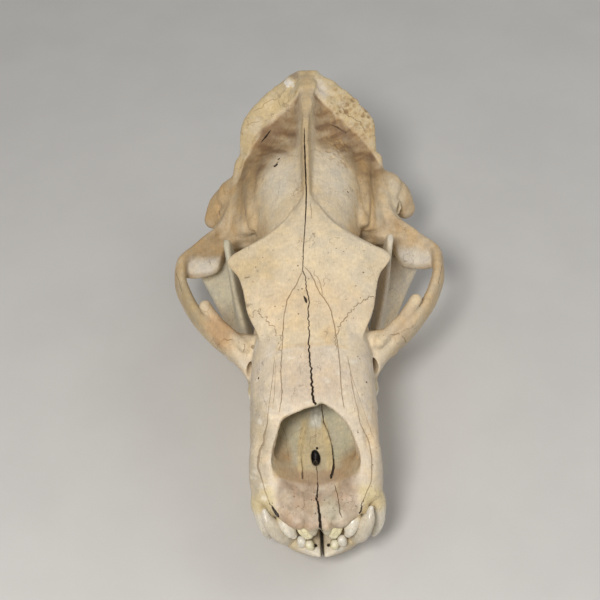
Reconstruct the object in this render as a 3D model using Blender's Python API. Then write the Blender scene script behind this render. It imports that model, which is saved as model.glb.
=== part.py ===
"""Polar bear skull with its lower jaw, at life size, resting on the jaw.

Every size below is in millimetres. A point is (across, back, up): across from the midline to the
animal's left, back from the upper front teeth, and up from the ground. The snout points along -Y.
"""

import math

import bmesh
import bpy
import numpy as np

MM = 0.001
ORIGIN_BACK = 196.8
SEAM = 0.3

BONE_VOXEL = 1.3
BONE_SOFTENING = 5
CUTTER_VOXEL = 1.1

CRANIUM_TRIANGLES = 8300
JAW_TRIANGLES = 1350
TOOTH_SIDES = 9
TOOTH_SPACING = 8.0
CROWN_SIDES = 12

# where the bones are parted; a raking seam is (station at height 0, station at height 200)
CHEEK_INNER = 60.0
CHEEK_BACK = 228.0
CHEEK_TOP = 130.0
SNOUT_SEAM = (233.0, 99.0)

BONE_COLOUR = (0.72, 0.62, 0.45)

LEFT, RIGHT = 1, -1


# Curves and rings


def profile(*pairs):
    """A smooth curve through (station, size) pairs that never overshoots, level beyond its ends."""
    place, size = (np.array(column, float) for column in zip(*pairs))
    gap = np.diff(place)
    rise = np.diff(size) / gap
    slope = np.zeros(len(place))
    for i in range(1, len(place) - 1):
        if rise[i - 1] * rise[i] > 0:
            before, after = 2 * gap[i] + gap[i - 1], gap[i] + 2 * gap[i - 1]
            slope[i] = (before + after) / (before / rise[i - 1] + after / rise[i])
    slope[0], slope[-1] = rise[0], rise[-1]

    def at(station):
        x = np.clip(station, place[0], place[-1])
        i = np.clip(np.searchsorted(place, x, side="right") - 1, 0, len(gap) - 1)
        t = (x - place[i]) / gap[i]
        return (
            size[i] * (1 + 2 * t) * (1 - t) ** 2
            + gap[i] * slope[i] * t * (1 - t) ** 2
            + size[i + 1] * t * t * (3 - 2 * t)
            - gap[i] * slope[i + 1] * t * t * (1 - t)
        )

    return at


def rounded(count, power=2.0, lower_power=None):
    """Unit points round a superellipse: a circle at power 2, squarer above it."""
    angle = np.arange(count) * 2 * math.pi / count
    across, up = np.cos(angle), np.sin(angle)
    exponent = np.where(up >= 0, 2 / power, 2 / (lower_power or power))
    across = np.sign(across) * np.abs(across) ** exponent
    up = np.sign(up) * np.abs(up) ** exponent
    return across, up


def skin(rings):
    """A closed form through rings of equal count, as (points, faces)."""
    count = len(rings[0])
    points = np.concatenate(rings)
    faces = []
    for r in range(len(rings) - 1):
        for i in range(count):
            j = (i + 1) % count
            a, b = r * count, (r + 1) * count
            faces.append((a + i, a + j, b + j, b + i))
    faces.append(tuple(range(count))[::-1])
    last = (len(rings) - 1) * count
    faces.append(tuple(range(last, last + count)))
    return points, faces


def mirrored(form):
    points, faces = form
    return points * (-1, 1, 1), [face[::-1] for face in faces]


def on_both_sides(forms):
    return forms + [mirrored(form) for form in forms]


def loft(
    stations, half_width, top, bottom, widest=None, upper=2.0, lower=2.0, camber=0.0, middle=0.0, count=48,
):
    """A body along the skull, its cross-sections given by profiles of the station."""

    def value(given, station):
        return float(given(station)) if callable(given) else float(given)

    rings = []
    for station in stations:
        roof, floor = value(top, station), value(bottom, station)
        level = value(widest, station) if widest is not None else (roof + floor) / 2
        across, up = rounded(count, value(upper, station), value(lower, station))
        x = value(half_width, station) * across
        z = level + np.where(up >= 0, (roof - level) * up, (level - floor) * up)
        z = z - value(camber, station) * across**2
        rings.append(np.column_stack([x + value(middle, station), np.full(count, float(station)), z]))
    return skin(rings)


def sweep(route, wide, half_wide, half_thick, power=2.0, count=16, spacing=3.0, domed=True):
    """A tube along a route, with an oval section whose long way lies along `wide`."""
    route = np.array(route, float)
    run = np.concatenate([[0], np.cumsum(np.linalg.norm(np.diff(route, axis=0), axis=1))])
    steps = np.linspace(0, run[-1], max(4, int(run[-1] / spacing)))

    def along(values):
        values = np.array(values, float)
        if values.ndim == 0:
            return np.full(len(steps), float(values))
        if values.ndim == 1 and len(values) == len(run):
            return profile(*zip(run, values))(steps)
        return np.column_stack([profile(*zip(run, column))(steps) for column in values.T])

    line = along(route)
    tangent = np.gradient(line, axis=0)
    tangent /= np.linalg.norm(tangent, axis=1)[:, None]
    wide = np.array(wide, float)
    wide = along(wide) if wide.ndim == 2 else np.tile(wide, (len(steps), 1))
    wide = wide - (wide * tangent).sum(1)[:, None] * tangent
    wide /= np.linalg.norm(wide, axis=1)[:, None]
    thin = np.cross(tangent, wide)
    a, b = along(half_wide), along(half_thick)
    across, up = rounded(count, power)
    section = [(line[i], a[i], b[i], i) for i in range(len(steps))]
    if domed:
        turns = np.radians([72, 50, 26])

        def dome(i, way):
            rise = tangent[i] * b[i] * way
            return [
                (line[i] + rise * math.sin(t), a[i] * math.cos(t), b[i] * math.cos(t), i) for t in turns
            ]

        section = dome(0, -1) + section + dome(-1, 1)[::-1]
    rings = [
        centre + np.outer(across * wide_size, wide[i]) + np.outer(up * thin_size, thin[i])
        for centre, wide_size, thin_size, i in section
    ]
    return skin(rings)


def ball(centre, radii, count=20):
    """An ellipsoid."""
    across, up = rounded(count)
    turns = np.linspace(-0.46, 0.46, count // 2) * math.pi
    rings = [
        np.column_stack([
            centre[0] + radii[0] * math.cos(t) * across,
            centre[1] - radii[1] * math.sin(t) * np.ones(count),
            centre[2] + radii[2] * math.cos(t) * up,
        ])
        for t in turns[::-1]
    ]
    return skin(rings)


# Blender objects


def as_object(name, forms):
    """One mesh object from closed forms in millimetres, set in the row frame in metres."""
    points, faces, start = [], [], 0
    for form_points, form_faces in forms:
        points.append(form_points)
        faces += [tuple(start + i for i in face) for face in form_faces]
        start += len(form_points)
    points = (np.concatenate(points) - (0, ORIGIN_BACK, 0)) * MM
    mesh = bpy.data.meshes.new(name)
    mesh.from_pydata(points.tolist(), [], faces)
    obj = bpy.data.objects.new(name, mesh)
    bpy.context.scene.collection.objects.link(obj)
    return obj


def apply_modifiers(obj):
    graph = bpy.context.evaluated_depsgraph_get()
    made = bpy.data.meshes.new_from_object(obj.evaluated_get(graph))
    obj.modifiers.clear()
    obj.data = made
    return obj


def skinned(obj, voxel, softening=0):
    """One closed skin round all that an object holds, with its creases softened."""
    remesh = obj.modifiers.new("Skin", "REMESH")
    remesh.mode = "VOXEL"
    remesh.voxel_size = voxel * MM
    if softening:
        smooth = obj.modifiers.new("Soften", "SMOOTH")
        smooth.iterations = softening
    return apply_modifiers(obj)


def fused(name, forms, voxel, softening=0):
    return skinned(as_object(name, forms), voxel, softening)


def boolean(obj, other, operation):
    modifier = obj.modifiers.new(operation.title(), "BOOLEAN")
    modifier.operation = operation
    modifier.solver = "MANIFOLD"
    modifier.object = other
    apply_modifiers(obj)
    bpy.data.objects.remove(other)
    return obj


def reduced(obj, triangles):
    count = sum(len(face.vertices) - 2 for face in obj.data.polygons)
    decimate = obj.modifiers.new("Reduce", "DECIMATE")
    decimate.ratio = min(1.0, triangles / count)
    decimate.use_collapse_triangulate = True
    return apply_modifiers(obj)


# Cranium


DORSAL = profile(
    (0, 70), (5, 74.5), (14, 78.5), (26, 84), (34, 93), (42, 104), (64, 127), (90, 132), (120, 137),
    (150, 144), (176, 151), (200, 156), (230, 158), (262, 157), (300, 155), (340, 151), (362, 146),
    (376, 139), (386, 120),
)


def core():
    """Snout, forehead and braincase as one body, without crests, arches or hollows."""
    return loft(
        np.concatenate([[2, 3, 5, 7.5], np.arange(11, 386, 4)]),
        half_width=profile(
            (2, 12), (3, 16), (5, 20), (7.5, 23.5), (11, 27), (17, 31.5), (25, 37.5), (34, 41.8), (46, 45),
            (62, 46.4), (80, 46.4), (105, 46.2), (125, 45), (145, 41), (160, 37), (180, 34), (205, 33),
            (225, 36), (250, 41), (280, 46.5), (310, 49.5), (340, 48), (365, 44), (385, 34),
        ),
        top=DORSAL,
        bottom=profile((0, 67), (8, 66), (16, 64), (190, 64), (205, 72), (222, 84), (300, 83), (386, 86)),
        widest=profile(
            (0, 69), (12, 72), (30, 80), (60, 88), (105, 94), (145, 104), (205, 116), (250, 114),
            (300, 112), (386, 106),
        ),
        upper=profile((0, 2.6), (60, 2.7), (150, 2.4), (200, 2.0), (260, 1.9), (386, 1.9)),
        lower=profile((0, 2.6), (60, 3.6), (110, 3.0), (160, 2.2), (386, 2.4)),
    )


def tooth_bearing_ledge():
    """The palate and the sockets' walls, from the canines to the last molar."""
    return loft(
        np.arange(10, 211, 4),
        half_width=profile(
            (10, 26), (24, 38.5), (36, 43), (60, 43), (90, 41), (120, 42), (150, 45), (178, 46), (192, 41),
            (210, 24),
        ),
        top=profile((10, 80), (40, 92), (150, 92), (210, 84)),
        bottom=profile((10, 64), (60, 64), (200, 64), (210, 68)),
        upper=3.0,
        lower=4.0,
    )


def forehead_shield():
    """The flat forehead, out to the points behind the eyes and back along the temporal lines."""
    shield_rise = profile((118, -5), (135, 0), (160, 3.0), (200, 4.5), (251, 6.5))
    return loft(
        np.arange(118, 252, 3),
        half_width=profile(
            (118, 34), (134, 41), (150, 48), (164, 50.5), (174, 54), (181, 60), (186, 62.5), (190, 60),
            (196, 51), (204, 40), (214, 29), (226, 18), (240, 9), (251, 4),
        ),
        top=lambda s: DORSAL(s) + float(shield_rise(s)),
        bottom=lambda s: DORSAL(s) - 22.0,
        widest=lambda s: DORSAL(s) - 4.0 + float(shield_rise(s)) * 0.5,
        camber=profile((118, 10), (150, 6), (172, 2), (186, 0), (215, 2), (251, 4)),
        upper=2.4,
        lower=1.3,
    )


def sagittal_crest():
    """The ridge on the midline, flared at its foot."""
    top = profile((222, 157), (243, 163.5), (270, 168), (300, 171), (340, 173.5), (375, 174), (396, 171))
    depth = np.array([0.0, 0.7, 4.0, 10.0, 17.0, 24.0, 31.0])
    flare = np.array([1.2, 2.4, 2.9, 4.0, 7.0, 13.0, 22.0])
    rings = []
    reach = profile((222, 1), (345, 1), (375, 0.7), (398, 0.3))
    broad = profile((222, 1), (325, 1), (355, 1.9), (380, 3.0), (398, 3.4))
    limit = profile((222, 60), (360, 40), (380, 22), (398, 8))
    for station in np.arange(222, 399, 4):
        height, foot = float(top(station)), float(reach(station))
        x = np.minimum(flare * (0.4 + 0.6 * foot) * float(broad(station)), float(limit(station)))
        x = np.concatenate([x, -x[::-1]])
        z = height - np.concatenate([depth, depth[::-1]]) * foot
        rings.append(np.column_stack([x, np.full(len(x), float(station)), z]))
    return skin(rings)


NUCHAL_EDGE = [
    (0, 399, 172), (14, 392, 167.5), (30, 384, 160.5), (44, 373.5, 153), (54, 363, 143),
    (56.5, 352, 129), (60, 343, 113), (66, 335, 99), (74, 329, 87),
]
NUCHAL_OUTWARD = [
    (0, 0.9, 0.5), (0.15, 0.85, 0.5), (0.35, 0.75, 0.5), (0.55, 0.65, 0.45), (0.7, 0.6, 0.3),
    (0.8, 0.55, 0.15), (0.85, 0.5, 0.0), (0.9, 0.4, -0.1), (0.9, 0.3, -0.3),
]


def nuchal_crest():
    """The flange across the back of the skull, from the midline down to behind the ear."""
    depth = 13.0
    outward = np.array(NUCHAL_OUTWARD)
    outward /= np.linalg.norm(outward, axis=1)[:, None]
    route = np.array(NUCHAL_EDGE, float) - outward * depth
    half_thick = [5, 4.8, 4.4, 4.0, 3.8, 4.0, 4.5, 6, 8]
    return sweep(route, outward, [depth] * 7 + [12, 11], half_thick, power=2.2, count=24)


def ear_region():
    """Mastoid and jugular processes, ear capsule and ear tube, on the left."""
    mastoid = sweep(
        [(50, 336, 104), (62, 331, 95), (76, 325, 84), (83, 320, 73)], (0, 1, 0.3),
        [13, 13, 12.5, 9], [13, 12, 10.5, 8],
    )
    ear_tube = sweep([(44, 312, 88), (58, 309, 90), (71, 305, 91)], (0, 0, 1), [9, 8, 8], [9, 8, 7.5])
    capsule = ball((37, 320, 84), (19, 22, 10))
    bulge = ball((63.5, 326, 96.5), (15, 18, 11))
    jugular = sweep([(48, 352, 100), (54, 357, 87), (57, 360, 77)], (1, 0, 0), [12, 9, 6], [11, 8, 5])
    return [mastoid, ear_tube, capsule, bulge, jugular]


def jaw_joint():
    """The temporal bone's shelf above the jaw's hinge, and the lip behind it, on the left."""
    front = profile(
        (38, 268), (66, 263), (70, 256), (73.5, 241), (80, 235), (94, 232), (102, 234), (107, 242),
    )
    back = profile((38, 298), (68, 293), (86, 270), (107, 255))
    level = profile((38, 98), (56, 94), (72, 91.5), (107, 90.5))
    half_thick = profile((38, 12), (56, 8.5), (75, 5.6), (100, 5), (107, 4))
    along, up = rounded(24, 4.0)
    shelf = skin([
        np.column_stack([
            np.full(24, float(x)),
            (front(x) + back(x)) / 2 + along * (back(x) - front(x)) / 2,
            level(x) + up * half_thick(x),
        ])
        for x in np.arange(38, 108, 3)
    ])
    floor = sweep(
        [(50, 350, 110), (52, 330, 104), (54, 305, 99), (57, 288, 95), (64, 276, 91)], (1, 0, -0.12),
        [9, 13, 16, 19, 20], [10, 8, 7.5, 7, 6], power=2.4,
    )
    temple_wall = sweep(
        [(45, 348, 121), (46, 330, 117), (48, 308, 112), (50, 288, 108), (53, 272, 104)], (1, 0, -0.8),
        [14, 17, 18, 18, 15], [8, 8, 7.5, 7, 6], power=2.4,
    )
    ear_ridge = sweep(
        [(101, 249, 94), (86, 265, 97), (72, 282, 99), (64, 304, 102), (62, 326, 106), (59, 344, 116)],
        (0, 0, 1), [7, 6.5, 6, 6, 6.5, 7], [4.5, 4.2, 4, 4, 4, 4],
    )
    lip = sweep(
        [(48, 283, 82), (66, 280, 79), (80, 275, 79.5), (89, 268, 84)], (0, 0, 1), [11, 12, 10, 7], 3.8,
    )
    return [shelf, floor, temple_wall, ear_ridge, lip]


CHEEK_ROUTE = [
    (39, 129, 90), (48.5, 140, 92), (60, 149.5, 94), (73, 161, 95), (86.5, 178, 96), (98, 201, 96),
    (104.5, 224, 95.5), (105, 238, 95), (100, 249, 94), (89, 258, 93), (76, 265, 92),
]
CHEEK_LEAN = [
    (0.5, -0.2, 1), (0.5, -0.2, 1), (0.45, -0.15, 1), (0.35, 0, 1), (0.2, 0, 1), (0, 0, 1),
    (-0.15, 0, 1), (-0.2, 0, 1), (-0.2, 0, 1), (-0.1, 0, 1), (0, 0, 1),
]


def cheek_arch():
    """The zygomatic arch with the knob that marks the eye socket's rear edge, on the left."""
    height = [15, 15.5, 16, 15.5, 14.5, 13.5, 12, 11, 10, 8.5, 7]
    thickness = [12, 10, 8, 6.5, 5.4, 4.8, 4.6, 4.7, 5, 5.5, 6]
    arch = sweep(CHEEK_ROUTE, CHEEK_LEAN, height, thickness, power=2.3)
    rim = sweep(
        [(50, 137, 110), (60, 149, 109), (69.5, 160, 109.5), (76.5, 169, 112.5), (81, 174, 116.5)],
        (0, -0.6, 1), 5, 4.8,
    )
    socket_front = sweep([(32, 139, 102), (46, 141, 101), (60, 148, 97)], (0, 0.2, 1), 13, [10, 10, 8])
    return [arch, rim, socket_front]


def root_bulges():
    """Swellings over the canine roots, on the left."""
    route = [(37.5, 29, 74), (38.8, 39, 83), (37.6, 54, 95), (35, 70, 104)]
    return [sweep(route, (0, 0.6, 1), [11, 12, 11, 8], [9, 9, 8.2, 7])]


def skull_base():
    """Pterygoid plates, and the occipital condyles, on the left."""
    plate = sweep(
        [(19, 196, 78), (17, 216, 79), (16, 238, 82), (17, 258, 84)], (0, 0, 1),
        [13, 12, 10, 7], [3.5, 3, 3, 3.5],
    )
    hook = sweep([(16, 250, 76), (15.5, 258, 71), (16, 264, 68.5)], (0, 1, 0), [5, 3.5, 2.5], [3, 2.5, 2.2])
    condyle = sweep(
        [(9, 378, 83), (20, 380, 88), (25, 379, 98), (23, 374, 107)], (0.5, 1, 0),
        [8, 11, 11, 8], [7, 8, 8, 6],
    )
    return [plate, hook, condyle]


def occiput():
    """The back wall under the nuchal crest, and the gutter between the crest and the braincase."""
    half_width = profile(
        (82, 58), (92, 61), (104, 59.5), (118, 56), (130, 54), (142, 51), (150, 46), (156, 38), (162, 28),
        (169, 8),
    )
    edge = profile(
        (82, 338), (92, 338), (104, 343), (118, 349), (130, 353), (142, 363), (150, 371), (156, 377),
        (162, 383), (169, 391),
    )
    ahead = profile((82, 60), (130, 66), (145, 62), (156, 46), (169, 36))
    behind = profile((82, 36), (104, 32), (118, 28), (130, 25), (142, 17), (150, 12), (156, 9), (169, 4))
    hollow = profile((82, 1.7), (118, 1.3), (142, 0.95), (156, 0.7), (169, 0.6))
    rings = []
    for height in np.arange(82, 170, 3):
        across, along = rounded(40, 2.4, float(hollow(height)))
        x = float(half_width(height)) * across
        reach = np.where(along >= 0, float(behind(height)), float(ahead(height)))
        station = float(edge(height)) + along * reach
        rings.append(np.column_stack([x, station, np.full(40, float(height))]))
    keel = sweep([(0, 391, 160), (0, 384, 140), (0, 379, 118)], (0, 1, 0), [7, 7, 6], [3.5, 3.5, 3])
    return [skin(rings), keel]


def nasal_hollow():
    """The nostril opening, cut from above, and the room behind it inside the snout."""
    opening = loft(
        np.concatenate([np.arange(9, 60, 3), [60, 62, 64, 65.5, 66.7]]),
        half_width=profile(
            (9, 14), (16, 21), (20, 24.5), (26, 28), (34, 30.5), (44, 31.5), (52, 30), (58, 26), (63, 20),
            (66, 12), (66.7, 5),
        ),
        top=145,
        bottom=profile((9, 80), (16, 80.8), (24, 80), (36, 78.6), (67, 78.5)),
        widest=profile((9, 92), (67, 100)),
        upper=10,
        lower=profile((9, 1.7), (32, 1.7), (50, 2.2), (67, 2.4)),
    )
    room = loft(
        np.arange(40, 135, 4),
        half_width=profile((40, 22), (52, 30), (66, 33.5), (85, 33), (110, 27), (134, 16)),
        top=lambda s: DORSAL(s) - 5.0 - 3.0 * np.clip((60 - s) / 20, 0, 1),
        bottom=profile((40, 80), (66, 78.5), (100, 84), (134, 96)),
        widest=profile((40, 92), (66, 98), (134, 112)),
        upper=2.6,
        lower=2.4,
    )
    return [opening, room]


def left_hollows():
    """Pits and passages cut on the left side."""
    infraorbital = sweep(
        [(58, 102, 97), (49, 117, 98), (43, 135, 99), (38, 151, 100)], (0, 0, 1),
        [6, 5.5, 5.5, 6], [3.4, 3, 3.2, 3.8],
    )
    ear_hole = sweep([(86, 300, 92), (70, 306, 91), (56, 310, 90)], (0, 0, 1), [4.5, 4.2, 3.5], [4.5, 4, 3])
    fissure = sweep([(10.5, 34, 56), (11, 37, 90)], (0, 1, 0), 6.0, 2.2)
    trough = [(44, 271, 75), (60, 269, 75), (74, 265, 75.5), (94, 258, 77)]
    hinge_trough = sweep(trough, (0, 0, 1), 9.5, 8.5)
    return [infraorbital, ear_hole, fissure, hinge_trough]


def midline_hollows():
    throat = loft(
        np.arange(196, 268, 4),
        half_width=profile((196, 8), (210, 13), (240, 13), (267, 12)),
        top=profile((196, 74), (206, 86), (240, 87), (267, 85)),
        bottom=55,
        upper=2.4,
        lower=6,
    )
    palate_vault = loft(
        np.arange(22, 206, 4),
        half_width=profile((22, 12), (40, 28), (70, 30), (120, 31), (170, 33), (196, 30), (205, 26)),
        top=profile((22, 65), (40, 70), (100, 72.5), (170, 72.5), (205, 72)),
        bottom=50,
        upper=2.2,
        lower=8,
    )
    nerve_hole = sweep(
        [(0, 402, 99), (0, 380, 99), (0, 358, 102), (0, 330, 108), (0, 300, 112)], (1, 0, 0),
        [15, 14, 16, 19, 16], [13, 12, 13.5, 16, 14], count=24,
    )
    palate_hole = sweep([(0, 57, 55), (0, 57, 95)], (0, 1, 0), 8.8, 3.3)
    return [throat, palate_vault, nerve_hole, palate_hole]


def cranium():
    left = [*ear_region(), *jaw_joint(), *cheek_arch(), *root_bulges(), *skull_base(), nuchal_crest()]
    middle = [core(), tooth_bearing_ledge(), forehead_shield(), sagittal_crest(), *occiput()]
    whole = fused("cranium", middle + on_both_sides(left), BONE_VOXEL, BONE_SOFTENING)
    hollows = [*nasal_hollow(), *midline_hollows(), *on_both_sides(left_hollows())]
    cutters = fused("hollows", hollows, CUTTER_VOXEL)
    return skinned(boolean(whole, cutters, "DIFFERENCE"), CUTTER_VOXEL, 1)


# Lower jaw


JAW_FLOOR = profile(
    (-5, 41), (-2, 38), (4, 32), (14, 22.5), (30, 11), (52, 3.8), (80, -0.2), (105, -1), (140, -1),
    (180, 1.4), (215, 6.5), (250, 12),
)
JAW_OUTSIDE = profile(
    (-5, 3.5), (-3, 8), (0, 14), (4, 20.5), (10, 27), (16, 30.5), (24, 31), (40, 28), (60, 27), (80, 31),
    (100, 36.5), (130, 43), (170, 52), (205, 60.5), (250, 69),
)
JAW_INSIDE = profile(
    (-5, 0.5), (54, 0.6), (66, 5), (80, 12), (100, 19), (130, 26), (170, 35), (205, 47.5), (250, 59),
)


def jaw_body():
    return loft(
        np.concatenate([[-5, -4, -2.5], np.arange(-1, 247, 4)]),
        half_width=lambda s: (JAW_OUTSIDE(s) - JAW_INSIDE(s)) / 2,
        top=profile((-5, 44), (10, 46.5), (60, 47), (110, 47), (160, 48.5), (195, 52), (246, 58)),
        bottom=JAW_FLOOR,
        widest=profile((-5, 42.5), (10, 40), (60, 34), (110, 26), (246, 36)),
        middle=lambda s: (JAW_OUTSIDE(s) + JAW_INSIDE(s)) / 2,
        upper=profile((-5, 2.8), (60, 3.0), (246, 2.6)),
        lower=profile((-5, 1.8), (50, 1.8), (100, 2.2), (246, 2.3)),
        count=32,
    )


def jaw_branch():
    """The blade behind the molars, with the hinge, the muscle pit's lower ridge and the angle."""
    front = profile(
        (6, 206), (30, 192), (48, 189), (62, 197), (80, 206), (98, 213), (110, 219), (119, 225),
        (125, 231),
    )
    back = profile(
        (6, 248), (20, 256), (48, 262), (66, 263), (78, 257), (90, 252), (102, 250), (112, 248), (120, 244),
        (125, 239),
    )
    half_thick = profile((6, 4), (20, 5), (48, 6), (70, 4.6), (95, 3.6), (125, 2.6))
    across, along = rounded(28, 2.6)
    rings = []
    for height in [6, 9, 14, 20, 30, 40, 50, 60, 70, 80, 90, 98, 105, 112, 118, 122, 125]:
        low, high = float(front(height)), float(back(height))
        middle = 58.5 + 0.04 * (height - 48) + 0.0009 * max(height - 60, 0) ** 2
        station = (low + high) / 2 + along * (high - low) / 2
        flare = 0.24 * np.clip((100 - height) / 60, 0.1, 1)
        x = middle + flare * (station - 228) + across * float(half_thick(height))
        rings.append(np.column_stack([x, station, np.full(28, float(height))]))
    blade = skin(rings)
    hinge = sweep([(53, 266, 71.5), (68, 264.5, 72), (87, 260, 73)], (0, 0, 1), [6, 7.2, 6], [6, 7.2, 6])
    web = sweep(
        [(52, 194, 34), (58, 212, 43), (65, 230, 54), (72, 246, 66), (76, 258, 72)],
        [(-0.1, 0, 1), (-0.25, 0, 1), (-0.5, 0.1, 1), (-0.7, 0.3, 0.8), (-1, 0.3, 0.3)],
        [15, 16, 16, 15, 14], [5, 4.5, 4, 4.5, 6], power=2.4, count=20,
    )
    ridge = sweep(
        [(90, 260, 70), (80, 245, 56), (70, 230, 42), (61, 212, 29), (52, 192, 21)], (0.3, 0, 1),
        [6, 6, 6, 6.5, 6], [4.5, 4, 4, 4.5, 5],
    )
    angle = sweep(
        [(57, 226, 15), (61, 244, 9.2), (63.5, 256, 6.3), (64, 264, 6.2)], (0, 0, 1),
        [13, 10, 7.5, 6], [5, 5, 4.5, 4],
    )
    return [blade, hinge, web, ridge, angle]


# Teeth: along the row, then half the length along the row and half the width across it


UPPER_CANINE = [
    (38.5, 36, 84), (40.2, 30, 74), (41.6, 25.5, 64), (41.2, 21, 53), (40, 18.8, 42), (38, 19, 32),
]
LOWER_CANINE = [
    (23, 20, 34), (27, 12.5, 46), (31.3, 7, 55), (35, 5.5, 64), (37.4, 8, 72), (38.3, 12, 77.5),
]
UPPER_CANINE_LONG = [7.0, 8.4, 8.4, 7.0, 4.8, 1.5]
UPPER_CANINE_WIDE = [5.6, 6.4, 6.2, 5.2, 3.6, 1.3]
LOWER_CANINE_LONG = [6.5, 7.4, 7.0, 5.9, 4.2, 1.4]
LOWER_CANINE_WIDE = [5.4, 6.2, 5.8, 4.8, 3.4, 1.2]
UPPER_THIRD_INCISOR = [(25.5, 17, 77), (25.6, 13, 71), (23.2, 8.5, 62), (20.3, 6, 55.5), (19, 5.2, 52.8)]
UPPER_SECOND_INCISOR = [(15.5, 12, 73), (14.6, 8, 68.5), (12.2, 4.5, 64), (9.6, 2.2, 61)]
LOWER_THIRD_INCISOR = [(12, 10, 38), (12.5, 3.5, 45.5), (12.6, -0.5, 51.5), (12.4, -1.5, 54.5)]
LOWER_SECOND_INCISOR = [(7, 9, 38), (7.2, 2, 45), (7.3, -1.5, 49.5), (7.2, -2.4, 52)]

# across, back, length, width, crown height
UPPER_CHEEK_TEETH = [
    (42.5, 47, 7, 5.5, 4.5), (43.5, 115, 17, 11.5, 8), (44, 134, 19.5, 14, 7), (42, 158.5, 27.5, 14.5, 6),
]
LOWER_CHEEK_TEETH = [
    (20, 42, 5.5, 4.5, 4), (29, 103, 13, 7, 6.5), (33.5, 123, 24, 10, 7.5), (38.8, 147, 22.5, 12, 6.5),
    (43, 167, 16, 11.5, 5.5),
]


def pointed_tooth(route, half_long, half_wide):
    """A tooth on one curved root, from its sunk end to its tip."""
    return sweep(route, (0, 1, 0.2), half_long, half_wide, count=TOOTH_SIDES, spacing=TOOTH_SPACING)


def cheek_tooth(across, back, neck, length, width, height, up):
    """A low crown with a rim of cusps round a shallow basin, its root sunk in the jaw."""
    cusps = 1 if length < 9 else 2 if length < 15 else 3
    x, s = rounded(CROWN_SIDES, 2.6)
    angle = np.arange(CROWN_SIDES) * 2 * math.pi / CROWN_SIDES
    peaks = 0.5 + 0.5 * np.cos(angle * cusps * 2)
    levels = [
        (-7, 0.6, 0), (-0.5, 0.88, 0), (0.5 * height, 1.0, 0), (0.78 * height, 0.84, 0.22 * height),
        (0.62 * height, 0.4, 0.1 * height),
    ]
    rings = []
    for level, size, cusp in levels:
        outline = across + x * size * width / 2, back + s * size * length / 2
        rings.append(np.column_stack([*outline, neck + up * (level + cusp * peaks)]))
    return skin(rings if up > 0 else rings[::-1])


def upper_teeth():
    """The upper teeth of the left side; the first incisors are lost."""
    return [
        pointed_tooth(UPPER_CANINE, UPPER_CANINE_LONG, UPPER_CANINE_WIDE),
        pointed_tooth(UPPER_THIRD_INCISOR, [5.0, 6.0, 6.0, 4.6, 2.6], [4.2, 5.0, 4.6, 3.3, 1.9]),
        pointed_tooth(UPPER_SECOND_INCISOR, [3.8, 4.6, 4.6, 3.0], [3.4, 4.2, 4.3, 3.0]),
        *[cheek_tooth(x, s, 64.5, long, wide, high, -1) for x, s, long, wide, high in UPPER_CHEEK_TEETH],
    ]


def lower_teeth():
    """The lower teeth of the left side; the first incisors are lost."""
    return [
        pointed_tooth(LOWER_CANINE, LOWER_CANINE_LONG, LOWER_CANINE_WIDE),
        pointed_tooth(LOWER_THIRD_INCISOR, [3.0, 3.6, 3.6, 2.5], [2.4, 2.9, 2.9, 2.1]),
        pointed_tooth(LOWER_SECOND_INCISOR, [2.6, 3.2, 3.2, 2.2], [2.2, 2.4, 2.5, 1.9]),
        *[cheek_tooth(x, s, 47.5, long, wide, high, 1) for x, s, long, wide, high in LOWER_CHEEK_TEETH],
    ]


# Nodes


def block(name, corners):
    """A convex block from its four front corners and its four back corners."""
    faces = [(0, 1, 2, 3), (7, 6, 5, 4), (0, 4, 5, 1), (1, 5, 6, 2), (2, 6, 7, 3), (3, 7, 4, 0)]
    obj = as_object(name, [(np.array(corners, float), faces)])
    work = bmesh.new()
    work.from_mesh(obj.data)
    bmesh.ops.recalc_face_normals(work, faces=work.faces)
    work.to_mesh(obj.data)
    work.free()
    return obj


def slab(name, front, back, inner=-200, outer=200, height=200):
    """A block across the skull between two raking planes, each (station at foot, station at top)."""
    corners = []
    for low, high in (front, back):
        corners += [(inner, low, 0), (outer, low, 0), (outer, high, height), (inner, high, height)]
    return block(name, corners)


def copy_of(obj, name):
    twin = obj.copy()
    twin.data = obj.data.copy()
    twin.name = name
    bpy.context.scene.collection.objects.link(twin)
    return twin


def parted_cranium(whole):
    """The cranium's bones, each drawn back from its seams by half a seam's width."""
    half = SEAM / 2
    behind_cheeks = slab("keep", (CHEEK_BACK + half,) * 2, (460, 460))
    nodes = [boolean(copy_of(whole, "braincase"), behind_cheeks, "INTERSECT")]
    for name, side in (("cheekbone_left", LEFT), ("cheekbone_right", RIGHT)):
        ends = sorted((side * (CHEEK_INNER + half), side * 180))
        keep = slab("keep", (100, 100), (CHEEK_BACK - half,) * 2, *ends, CHEEK_TOP)
        nodes.append(boolean(copy_of(whole, name), keep, "INTERSECT"))
        ends = sorted((side * (CHEEK_INNER - half), side * 180))
        boolean(whole, slab("clear", (99, 99), (300, 300), *ends, CHEEK_TOP + SEAM), "DIFFERENCE")
    spans = [
        ("snout", (-90, -90), [place - half for place in SNOUT_SEAM]),
        ("forehead", [place + half for place in SNOUT_SEAM], (CHEEK_BACK - half,) * 2),
    ]
    for name, front, back in spans:
        nodes.append(boolean(copy_of(whole, name), slab("keep", front, back), "INTERSECT"))
    bpy.data.objects.remove(whole)
    return nodes


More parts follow.
